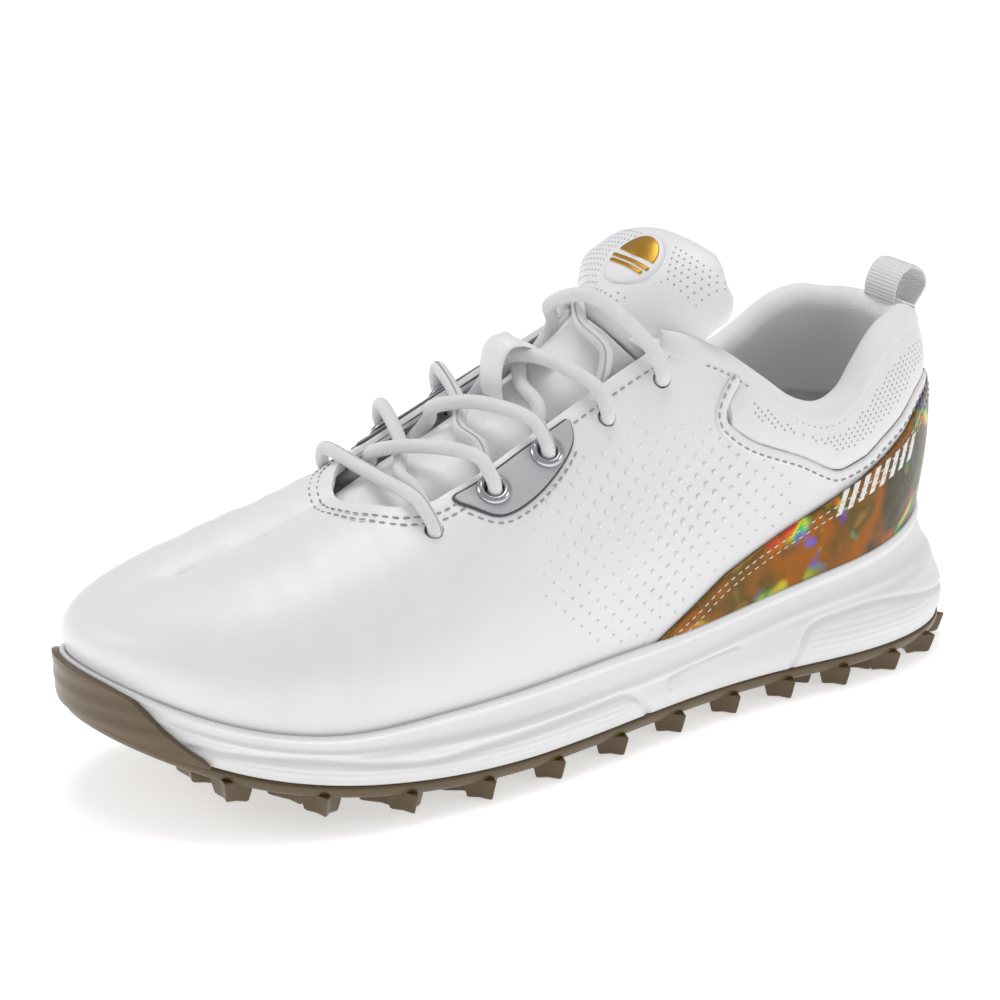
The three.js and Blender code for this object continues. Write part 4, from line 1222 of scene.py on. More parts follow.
@dataclass
class Upper:
    """The leather shell and all that is sewn or glued on it."""

    leather: float = UPPER_LEATHER
    thread_gap: float = 4.5
    hole: float = 2.9
    ear_rim: float = 2.4
    ear_start: float = 84.0

    def ear_drop(self, x: Array) -> Array:
        """How far the shell stays below the topline, where the soft rim of the quarter takes over."""
        return self.ear_rim * smoothstep(x, self.ear_start - 3, self.ear_start + 2)

    def shell_field(self, uv: Array) -> Array:
        """Positive where the white leather is.

        Args:
            uv: Rows of u and v.

        Returns:
            One value for each row.
        """
        p = LAST.point(uv)
        parts = [
            under_topline(p, uv, self.ear_drop(p[:, 0])),
            -COLLAR.depth(p[:, [0, 2]]) - GAP,
            -throat().depth(p[:, :2]),
            clear_of_eyelets(p, self.hole),
        ]
        return np.min(parts, axis=0)

    def creases(self, p: Array) -> Array:
        """Slow unevenness of leather over a last: shallow waves across the flex of the forefoot.

        Args:
            p: Points of the surface.

        Returns:
            Height in mm at each point.
        """
        x, y, z = p.T
        flex = smoothstep(x, 195, 215) * (1 - smoothstep(x, 240, 262)) * smoothstep(z, 35, 50)
        waves = np.sin(x * 0.55 + 0.9 * np.sin(y * 0.12)) * 0.14 + np.sin(x * 0.23 - y * 0.1 + 1) * 0.18
        soft = 0.18 * np.sin(x * 0.07 + y * 0.11) * np.sin(z * 0.12 + x * 0.05)
        return flex * waves + soft * smoothstep(z, 40, 55)

    def shell(self) -> None:
        """The quarters and the vamp in one skin."""
        patch = cut(self.shell_field, 760, 100, -0.06, 1.0).welded(LAST.point, 0.2)
        p = LAST.point(patch.uv)
        outer = LAST.point(patch.uv, self.creases(p))
        inner = LAST.point(patch.uv, -self.leather)
        build("leather_shell", slab(patch, outer, inner), Looks.WHITE, nodes=["upper_shell"], bevel=0.5)

    def stays(self) -> None:
        """Silver panels of the lacing, each in a window, with a dark cord of painted shadow along the rim
        where the leather's cut edge shades the panel.
        """
        for side, name in ((1, "outer"), (-1, "inner")):
            ring = rounded([(x, side * y * (1 if side > 0 else 0.95)) for x, y in STAY], 1.2)
            window = Outline(ring)
            gap = throat(2.2)

            def inside(uv: Array) -> Array:
                """Positive in the window on this side, clear of the lacing gap and the eyelets."""
                p = LAST.point(uv)
                right = np.where(outer_side(uv), 1, -1) * side * 100.0
                holes = clear_of_eyelets(p, self.hole + 0.2)
                return np.min([window.depth(p[:, :2]), -gap.depth(p[:, :2]), holes, right], 0)

            span = (0.2, 0.45) if side > 0 else (0.55, 0.8)
            patch = cut(inside, 220, 110, 0.3, 1.0, span)
            panel = slab(patch, LAST.point(patch.uv, 1.0), LAST.point(patch.uv, 0.1))
            build(f"silver_panel_{name}", panel, Looks.SILVER, nodes=[f"lace_stay_{name}"], bevel=0.35)
            # The dark cord along the panel's rim is painted shadow, the shade of the leather's cut edge over
            # the sunken panel.
            edge = patch.rims()[0]
            line = LAST.point(edge) + LAST.normal(edge) * 0.15
            line = resampled(np.vstack([line, line[:1]]), 0.8)
            up = np.repeat(LAST.normal(edge).mean(0)[None], len(line), 0)
            build(f"painted_edge_shadow_{name}", swept(line, up, oval(1.5, 0.9, 8, 3)), Looks.EDGE_SHADOW)
            keep = ring[(window.depth(ring) > -1) & (gap.depth(ring) < -3)]
            away = -2.4 * side if self.leftward(keep) > 0 else 2.4 * side
            points, normal = Drawn(keep, (0, 1), side).offset(away).traced(0.05)
            build(f"window_thread_{name}", stitches(points, normal), Looks.THREAD)

    @staticmethod
    def leftward(line: Array) -> float:
        """Twice the signed area under an open line, positive when it turns to the left."""
        x, y = line.T
        return float((x * np.roll(y, -1) - y * np.roll(x, -1)).sum())

    def throat_threads(self) -> None:
        """Rows of stitches along the edge of the lacing gap, doubled round its front."""
        line = throat_line()
        whole = Drawn(resampled(line[(line[:, 0] > 108)], 1.5), (0, 1)).offset(self.thread_gap)
        points, normal = whole.traced(0.05)
        build("throat_thread", stitches(points, normal), Looks.THREAD)
        front = Drawn(resampled(line[line[:, 0] > 185], 1.2), (0, 1)).offset(self.thread_gap + 2.4)
        points, normal = front.traced(0.05)
        build("throat_thread_second", stitches(points, normal), Looks.THREAD)

    def eyelets(self) -> None:
        """Nickel rings on the second and third rows."""
        profile = rounded([
            (2.9, -4.6), (2.9, 0), (2.95, 1.9), (3.3, 2.5), (3.9, 2.55), (4.6, 2.2), (5.1, 1.6),
            (5.0, 1.25)], 0.3)
        back = rounded([(3.4, 1.2), (3.4, -4.3), (4.4, -4.7), (4.4, -4.95), (2.9, -4.9)], 0.5)
        ring = np.vstack([profile, back])
        for row, side, at, out in FRAMES:
            if row not in RINGED_ROWS:
                continue
            a = unit(np.cross(out, [0.0, 0.0, 1.0]))
            b = np.cross(out, a)
            t = np.linspace(0, 2 * np.pi, 48, endpoint=False)
            turn = a * np.cos(t)[:, None] + b * np.sin(t)[:, None]
            rows = at + turn[:, None] * ring[None, :, :1] + out * ring[None, :, 1:]
            name = f"{'outer' if side > 0 else 'inner'}_row{row + 1}"
            ring_net = net(rows, round_u=True, round_v=True)
            build(f"ring_{name}", ring_net, Looks.NICKEL, nodes=[f"eyelet_{name}"])

    def overlay(self) -> None:
        """The copper heel piece with its two rows of stitches and a row of slanted bars."""
        def inside(uv: Array) -> Array:
            """Positive in the heel piece, down to just inside the midsole's rim."""
            p = LAST.point(uv)
            return np.minimum(OVERLAY.depth(p[:, [0, 2]]), uv[:, 1] * 100 + 4)

        patch = cut(inside, 420, 110, -0.04, 0.85, (-0.26, 0.26))
        rim = np.clip(OVERLAY.depth(LAST.point(patch.uv)[:, [0, 2]]), 0, 3) / 3
        lift = GAP + 0.75 + 0.35 * np.sqrt(np.clip(1 - (1 - rim) ** 2, 0, 1))
        foil = slab(patch, LAST.point(patch.uv, lift), LAST.point(patch.uv, 0.1))
        build("heel_foil", foil, Looks.COPPER, nodes=["heel_overlay"], bevel=0.3)
        for side, word in ((1, "outer"), (-1, "inner")):
            top = rounded([p for p in OVERLAY_EDGE if p[0] > 5], 1.2)
            for count, gap in enumerate((2.4, 4.8)):
                line = Drawn(resampled(top, 1.5), (0, 2), side).offset(gap)
                points, normal = line.traced(1.35)
                build(f"foil_thread_{word}_{count}", stitches(points, normal, 3.0, 1.9), Looks.PALE_THREAD)
        self.bars()

    def bars(self) -> None:
        """Slanted bars printed on the outer side of the heel."""
        total = None
        for k in range(8):
            x = 22 + 4.4 * k
            low, high = 66.5 - 1.5 * k, 74.5 - 1.5 * k
            flat = np.array([[x, low], [x + 2.3, low - 0.7], [x - 0.6, high - 0.7], [x - 2.9, high]])
            grid = []
            for s in np.linspace(0, 1, 7):
                a, b = flat[0] + (flat[3] - flat[0]) * s, flat[1] + (flat[2] - flat[1]) * s
                uv = LAST.find(np.array([a, (a + b) / 2, b]), (0, 2), 1)
                grid.append(LAST.point(uv) + LAST.normal(uv) * 1.5)
            top = np.array(grid)
            sunk = top - LAST.normal(LAST.find(flat[:1], (0, 2), 1))[0] * 0.5
            bar = Patch(np.zeros((21, 2)), net(top).faces)
            one = slab(bar, top.reshape(-1, 3), sunk.reshape(-1, 3))
            total = one if total is None else total.joined(one)
        build("heel_bars", total, Looks.PRINT, bevel=0.15)

    def quarter_dots(self) -> None:
        """Raised dots on the outer quarter that fade out towards the edge of their field."""
        spots = []
        middle_x, middle_z = 120, 66
        for i in range(-9, 10):
            for j in range(-12, 13):
                x, z = middle_x + 6.4 * (i + 0.5 * (j % 2)), middle_z + 3.1 * j
                far = math.hypot((x - middle_x) / 50, (z - middle_z) / 35)
                if far < 1:
                    spots.append((x, z, 0.35 + 0.75 * (1 - far**1.6)))
        flat = np.array(spots)
        uv = LAST.find(flat[:, :2], (0, 2), 1)
        p, n = LAST.point(uv), LAST.normal(uv)
        right = np.abs(p[:, 0] - flat[:, 0]) < 0.3
        right &= (OVERLAY.depth(p[:, [0, 2]]) < -3) & (COLLAR.depth(p[:, [0, 2]]) < -4)
        right &= throat().depth(p[:, :2]) < -9
        right &= clear_of_eyelets(p, 6) > 0
        right &= under_topline(p, uv) > 12
        dots = domes(p[right] + n[right] * 0.02, n[right], flat[right, 2], 0.45)
        build("quarter_dots", dots, Looks.WHITE)

    def collar_panels(self) -> None:
        """The puffed panel under the topline, its folded border, its stitches and its pin holes."""
        def inside(uv: Array) -> Array:
            """Positive in the panel, which ends just in front of x = 87 mm."""
            p = LAST.point(uv)
            ear = np.where(p[:, 0] > 80, 87 - p[:, 0], 10.0)
            return np.min([COLLAR.depth(p[:, [0, 2]]), under_topline(p, uv, 2.2), ear + 6], 0)

        patch = cut(inside, 520, 170, 0.1, 1.0, (-0.3, 0.3))
        lift = self.puff(LAST.point(patch.uv), patch.uv)
        panel = slab(patch, LAST.point(patch.uv, lift), LAST.point(patch.uv, -1.2))
        skin = build("collar_panel_skin", panel, Looks.PERFORATED, nodes=["collar_panel"], bevel=0.3)
        for side, word in ((1, "outer"), (-1, "inner")):
            edge = rounded([q for q in COLLAR_EDGE if q[0] > 3], 1.2)
            line = Drawn(resampled(edge, 1.4), (0, 2), side)
            fold, normal = line.offset(1.9).traced(0.25)
            build(f"collar_fold_{word}", swept(fold, normal, oval(3.8, 1.5, 12, 2.6)), Looks.WHITE)
            points, normal = line.offset(2.9).traced(1.0)
            build(f"collar_thread_{word}", stitches(points, normal), Looks.THREAD)
            i, j = np.meshgrid(np.arange(40), np.arange(34), indexing="ij")
            flat = np.stack([8 + 2.3 * (i + 0.5 * (j % 2)), 70 + 1.35 * j], -1).reshape(-1, 2)
            flat = flat[(COLLAR.depth(flat) > 5.5) & (flat[:, 0] < 86)]
            uv = LAST.find(flat, (0, 2), side)
            p, n = LAST.point(uv), LAST.normal(uv)
            found = (np.abs(p[:, [0, 2]] - flat) < 0.2).all(1)
            near = found & (under_topline(p, uv) > 8)
            p, n, uv = p[near], n[near], uv[near]
            spots = LAST.point(uv, self.puff(p, uv)) + n * 0.02
            holes = domes(spots, n, np.full(len(p), PIN_HOLE), 0.03, 8)
            build(f"collar_holes_{word}", holes, Looks.HOLE)

    @staticmethod
    def puff(p: Array, uv: Array) -> Array:
        """How far the padding of the collar panel stands out, from its rim to its middle."""
        rim = np.clip(np.minimum(COLLAR.depth(p[:, [0, 2]]), under_topline(p, uv) + 2), 0, 9) / 9
        return -0.2 + 1.5 * np.sqrt(1 - (1 - rim) ** 2)

    def ear_rims(self) -> None:
        """The soft rim above each quarter, from the collar to the lacing gap."""
        for side, table, word in ((1, TOPLINE_OUTER, "outer"), (-1, TOPLINE_INNER, "inner")):
            xs = np.linspace(83, 118, 60)
            flat = np.stack([xs, table.at(xs) - 2.2], -1)
            points, normal = Drawn(flat, (0, 2), side).traced(-2.2)
            keep = np.linalg.norm(np.gradient(points, axis=0), axis=1) < 3
            scale = np.interp(np.linspace(0, 1, keep.sum()), [0, 0.2, 0.85, 1], [0.25, 1, 1, 0.4])
            rim = swept(points[keep], normal[keep], oval(5.2, 5.2, 20, 2.2), scale)
            build(f"quarter_rim_{word}", rim, Looks.WHITE)


@dataclass
class Collar:
    """The padded collar: over the topline and down inside the heel."""

    columns: int = 300
    below: float = 3.0
    rows: tuple[tuple[float, float], ...] = (
        (-0.4, -7), (0.5, -5.2), (1.1, -3.5), (1.2, -1.8), (0.6, 0), (-0.8, 1.5), (-3.0, 2.5), (-5.5, 2.5),
        (-7.6, 1.5), (-9.0, -0.3), (-9.8, -2.6), (-10.1, -5.5), (-10.2, -10), (-10.2, -16), (-10.2, -24),
        (-10.0, -32), (-8.6, -33), (-6.0, -33), (-3.0, -30), (-2.6, -18))

    def build(self) -> None:
        """The roll and the lining that goes down from it."""
        us = np.linspace(-0.243, 0.243, self.columns)

        def under(level: Array) -> Array:
            """Whether the surface is still below the line that the roll is drawn from."""
            uv = np.stack([us, level], -1)
            return under_topline(LAST.point(uv), uv) > self.below

        level = bisected(np.full(self.columns, 0.2), np.full(self.columns, 0.995), under, 30)[0]
        base = np.stack([us, level], -1)
        p = LAST.point(base)
        n = LAST.normal(base)
        away = unit(n * [1, 1, 0])
        x = p[:, 0]
        thin = 1 - 0.4 * smoothstep(x, 66, 92)
        ends = np.clip(np.minimum(us - us[0], us[-1] - us) / 0.012, 0.25, 1)
        profile = rounded(self.rows, 1.1, closed=True)
        upwards = np.array([0, 0, 1.0])
        rows = []
        for out, rise in profile:
            if rise > -self.below:
                spot = p + away * (out * thin * ends)[:, None] + upwards * (rise + self.below)
            else:
                z = p[:, 2] + (rise + self.below)

                def lower(v: Array, height: Array = z) -> Array:
                    """Whether the surface at v is lower than a height."""
                    return LAST.point(np.stack([us, v], -1))[:, 2] < height

                uv = np.stack([us, bisected(np.zeros(self.columns), level, lower, 24)[0]], -1)
                spot = LAST.point(uv) + unit(LAST.normal(uv) * [1, 1, 0]) * (out * thin)[:, None]
                spot[:, 2] = z
            rows.append(spot)
        grid = np.array(rows).transpose(1, 0, 2)
        roll = build("collar_roll", net(grid, round_v=True, capped=True), Looks.LINING,
                     nodes=["collar_foam", "collar_lining"])
        line = p + away * 1.15 + upwards * (-1.2)
        keep = (us > -0.2) & (us < 0.225)
        points = resampled(line[keep], 1.2)
        normal = resampled(line[keep], 1.2, away[keep])
        build("collar_seam", stitches(points, unit(normal), 2.4, 1.2, 0.22), Looks.THREAD)


# ------------------------------------------------------------------ sole
@dataclass
class Sole:
    """The foam midsole and the rubber outsole under it."""

    wall: float = 2.0
    lean: float = 1.15
    rise: float = 1.0
    columns: int = 1100
    front_rib: float = 1.9
    heel_rib: float = 2.1
    groove: tuple[tuple[float, float], ...] = (
        (274, 0.28), (263, 0.43), (245, 0.51), (225, 0.39), (209, 0.32), (192, 0.38), (168, 0.42),
        (147, 0.45), (139, 0.43), (133, 0.28), (130, 0.05))
    hairline: tuple[tuple[float, float], ...] = (
        (121, 0.28), (121.5, 0.42), (116, 0.49), (106, 0.52), (93, 0.53))
    heel_band: tuple[tuple[float, float], ...] = (
        (72, 0.03), (69, 0.3), (64, 0.48), (52, 0.51), (38, 0.5), (20, 0.38), (4, 0.26), (-6, 0.2))

    def __post_init__(self) -> None:
        """Sets up the flare and the swell of the wall."""
        self.flare = Loop([[f] for f in FLARE])
        self.swell = Table(((0, 0), (0.22, 1.4), (0.5, 0.9), (0.8, 0.25), (1, 0)))

    def point(self, uv: Array, out: Array | float = 0.0, rise: float = 0.0) -> Array:
        """Points of the wall: u goes round, and the share climbs from the outsole to the rim.

        Args:
            uv: Rows of u and share.
            out: How far outwards the points lie.
            rise: How far they are lifted.

        Returns:
            Points in mm.
        """
        u, share = uv[..., 0], uv[..., 1]
        lip, away = LAST.lip(u)
        flare = self.flare.at(u)[..., 0]
        spread = (flare - self.wall) * np.clip(1 - share, 0, None) ** self.lean
        reach = self.wall + spread + self.swell.at(share) * flare / 4 + out
        low = SOLE_TOP.at(lip[..., 0]) + GAP
        high = LIP.at(lip[..., 0]) + self.rise
        xy = lip + away * reach[..., None]
        return np.concatenate([xy, (low + (high - low) * share + rise)[..., None]], -1)

    def carved(self, uv: Array) -> Array:
        """Height in mm of what is moulded into the wall: grooves, ribbed bands and long hollows.

        Args:
            uv: Rows of u and share.

        Returns:
            Height in mm at each row.
        """
        p = self.point(uv)
        x, share = p[:, 0], uv[:, 1]
        tall = LIP.at(x) + 1 - SOLE_TOP.at(x)
        z = share * tall
        places = np.stack([x, z], -1)
        out = np.zeros(len(p))
        front = smoothstep(x, 276, 284)
        carvings = ((self.groove, 1.5, 1.1), (self.hairline, 0.7, 0.6), (self.heel_band, 1.1, 0.9))
        for line, depth, width in carvings:
            flat = np.array(line, float)
            flat[:, 1] *= LIP.at(flat[:, 0]) + 1 - SOLE_TOP.at(flat[:, 0])
            way = rounded(flat, 1.5)
            far = np.full(len(p), FAR)
            for a, b in zip(way, way[1:]):
                far = np.minimum(far, from_edge(places, a, b - a))
            out -= depth * np.exp(-((far / width) ** 2))
        foot = smoothstep(share, 0.03, 0.06)
        under = smoothstep(self.height_of(self.groove, x) - share, 0.05, 0.09) * foot
        under *= smoothstep(x, 136, 142) * (1 - smoothstep(x, 262, 274))
        ribs = [np.abs(np.sin(way * np.pi / self.front_rib)) ** 0.7 for way in (x, z)]
        out += under * 0.32 * (ribs[0] * ribs[1] - 0.6)
        back = smoothstep(self.height_of(self.heel_band, x) - share, 0.04, 0.08) * foot
        back *= 1 - smoothstep(x, 64, 70)
        out += back * 0.3 * (np.abs(np.sin(z * np.pi / self.heel_rib)) ** 0.6 - 0.6)
        above = smoothstep(share, 0.5, 0.62) * (1 - smoothstep(share, 0.85, 0.97))
        out -= 1.4 * above * (0.55 + 0.45 * np.sin(x * 0.035 + 0.6)) * (1 - front)
        crest = np.exp(-(((share - 0.58 - 0.07 * np.sin(x * 0.03)) / 0.06) ** 2))
        return out + 0.8 * crest * (1 - front) + 0.35 * np.exp(-(((share - 0.93) / 0.04) ** 2))

    @staticmethod
    def height_of(line: Sequence[Sequence[float]], x: Array) -> Array:
        """Share of the wall's height at which a carved line lies, at each x."""
        xs, shares = np.array(sorted(line)).T
        return np.interp(x, xs, shares)

    def midsole(self) -> None:
        """The foam: a closed cup's wall, rim and underside."""
        us = np.arange(self.columns) / self.columns
        shares = np.linspace(0, 1, 66)
        uv = np.stack(np.meshgrid(us, shares, indexing="ij"), -1)
        flat = uv.reshape(-1, 2)
        body = self.point(flat, self.carved(flat)).reshape(self.columns, len(shares), 3)
        lip, away = LAST.lip(us)
        top = body[:, -1]
        inner = []
        for reach, drop in ((1.5, -0.35), (1.0, -0.25), (0.35, 0.5), (0.1, 2.0), (0.1, 6.0)):
            ring = np.concatenate([lip + away * reach, (top[:, 2] - drop)[:, None]], -1)
            inner.append(ring)
        under = []
        for reach in (-2.0, -14.0):
            ring = np.concatenate([lip + away * reach, (SOLE_TOP.at(lip[:, 0]) + GAP)[:, None]], -1)
            under.append(ring)
        below, above = (np.array(rings).transpose(1, 0, 2) for rings in (under[::-1], inner))
        rows = np.concatenate([below, body, above], 1)
        build("midsole_foam", net(rows, round_u=True), Looks.EVA, nodes=["midsole"])

    def plate(self) -> Solid:
        """The rubber sheet under the foam."""
        us = np.arange(420) / 420
        lip, away = LAST.lip(us)
        flare = self.flare.at(us)[:, 0]
        keel = lip * [0.93, 0.1] + [8, 0]
        profile = (
            (None, -3.6), (-6, -3.9), (-1.6, -4), (-0.8, -3.7), (-0.1, -3), (0.5, -1.6), (0.6, -0.7),
            (0.35, -0.2), (-0.4, -0.1), (-8, -0.1))
        rows = []
        for out, rise in profile:
            xy = keel if out is None else lip + away * (flare + out)[:, None]
            rows.append(np.concatenate([xy, (SOLE_TOP.at(lip[:, 0]) + rise)[:, None]], -1))
        return net(np.array(rows).transpose(1, 0, 2), round_u=True)

    def bumper(self) -> Solid:
        """Rubber wrapped up over the toe."""
        edge = Outline(np.array([
            (262, 0), (266, 17), (271, 24), (275.5, 28), (279, 32), (281.5, 36), (284, 39.5), (288, 41.8),
            (293, 44), (330, 62), (330, 0)], float))

        def inside(uv: Array) -> Array:
            """Positive in front of the bumper's edge."""
            return edge.depth(self.point(uv)[:, [0, 2]])

        patch = cut(inside, 300, 60, 0.0, 1.0, (0.36, 0.68))
        wave = 0.12 * np.sin(self.point(patch.uv)[:, 2] * 1.1)
        return slab(patch, self.point(patch.uv, GAP + 2.0 + wave), self.point(patch.uv, GAP))

    def outsole(self, lugs: Sequence[Sequence[float]]) -> None:
        """Sheet, toe bumper and the star lugs.

        Args:
            lugs: Place, size and turn of the large lugs.
        """
        build("outsole_sheet", self.plate(), Looks.GUM, nodes=["outsole"])
        build("toe_bumper", self.bumper(), Looks.GUM, bevel=0.7)
        total = None
        us = np.arange(30) / 30 + 0.01
        lip, away = LAST.lip(us)
        spots = lip + away * (self.flare.at(us) - 4.6)
        taken = np.array(lugs, float)[:, :2]
        small = []
        for (x, y), n in zip(spots, away):
            if np.linalg.norm(taken - [x, y], axis=1).min() > 7 and x < 272:
                small.append((x, y, 8.6, math.degrees(math.atan2(n[1], n[0]))))
        for x, y, size, turn in [*lugs, *small]:
            one = self.lug(x, y, size * 1.06, turn)
            total = one if total is None else total.joined(one)
        build("lugs", total, Looks.GUM, bevel=0.35)

    @staticmethod
    def lug(x: float, y: float, size: float, turn: float) -> Solid:
        """A four-pointed star that narrows towards the ground, its front point drawn out.

        Args:
            x: Its place on x.
            y: Its place on y.
            size: Its size.
            turn: Direction of its front point, in degrees.

        Returns:
            The closed solid.
        """
        angles = np.arange(8) * np.pi / 4 + math.radians(turn)
        reach = np.where(np.arange(8) % 2, 0.42, 0.72) * size
        reach[0] = 0.85 * size
        behind, here, ahead = SOLE_TOP.at(np.array([x - 5.0, x, x + 5.0]))
        top = float(here) - 3.0
        tilt = float(ahead - behind) / 10
        rows = []
        for wide, drop in ((1.02, 0.0), (0.98, 1.2), (0.86, 4.2), (0.78, 6.0), (0.66, 6.5)):
            xy = np.stack([x + wide * reach * np.cos(angles), y + wide * reach * np.sin(angles)], -1)
            rows.append(np.concatenate([xy, (top - drop + tilt * (xy[:, 0] - x))[:, None]], -1))
        return net(np.array(rows), round_v=True, capped=True)


# ------------------------------------------------------------------ tongue
# Distance along the tongue, then x, z, half width and curvature across.
TONGUE_TABLE = Table((
    (0, 213, 74, 22, 0.022), (23, 190, 85.5, 21.5, 0.028), (45, 170, 95.5, 21, 0.032),
    (63, 154, 103.5, 20.5, 0.038), (81, 139, 112.5, 20, 0.05), (97, 127, 122, 19, 0.061),
    (105, 121, 126.5, 17.5, 0.048), (112, 115, 131, 18, 0.036), (118, 110, 134.7, 22.5, 0.025),
    (126, 103.5, 139, 31, 0.014), (134, 97.5, 143.5, 28, 0.01), (139, 93.5, 146, 19, 0.008)))
# The padded top flares early on the inner side: distance, half width and curvature there.
FLARED = Table((
    (99, 19, 0.06), (106, 22, 0.036), (111, 30, 0.014), (116, 34, 0.008), (121, 36, 0.006),
    (128, 36, 0.006), (135, 31, 0.006), (139, 23, 0.006)))


def on_tongue(s: Array, y: Array, lift: Array | float = 0.0) -> Array:
    """Points above the tongue's front face.

    Args:
        s: Distance along the tongue from its toe end.
        y: Distance from its middle line.
        lift: Height above the face.

    Returns:
        Points in mm.
    """
    s, y = np.broadcast_arrays(np.asarray(s, float), np.asarray(y, float))
    x, z, _, bend = (TONGUE_TABLE.at(s, k) for k in (1, 2, 3, 4))
    bend = np.where((y < 0) & (s > 107), np.minimum(FLARED.at(s, 2), bend), bend)
    dx = TONGUE_TABLE.at(s + 0.5, 1) - TONGUE_TABLE.at(s - 0.5, 1)
    dz = TONGUE_TABLE.at(s + 0.5, 2) - TONGUE_TABLE.at(s - 0.5, 2)
    size = np.hypot(dx, dz)
    d0 = lift - bend * y * y
    return np.stack([x + dz / size * d0, y + 1, z - dx / size * d0], -1)


def tongue_out(s: Array, y: Array) -> Array:
    """Outward direction of the tongue's face.

    Args:
        s: Distance along the tongue.
        y: Distance from its middle line.

    Returns:
        Directions of length one.
    """
    a = on_tongue(np.asarray(s) + 0.5, y) - on_tongue(np.asarray(s) - 0.5, y)
    b = on_tongue(s, np.asarray(y) + 0.5) - on_tongue(s, np.asarray(y) - 0.5)
    return unit(np.cross(a, b) * -1)


def tongue_distance(x: float) -> float:
    """Distance along the tongue at which its middle line is at x."""
    far = np.linspace(0, 139, 2000)
    return float(np.interp(-x, -TONGUE_TABLE.at(far, 1), far))


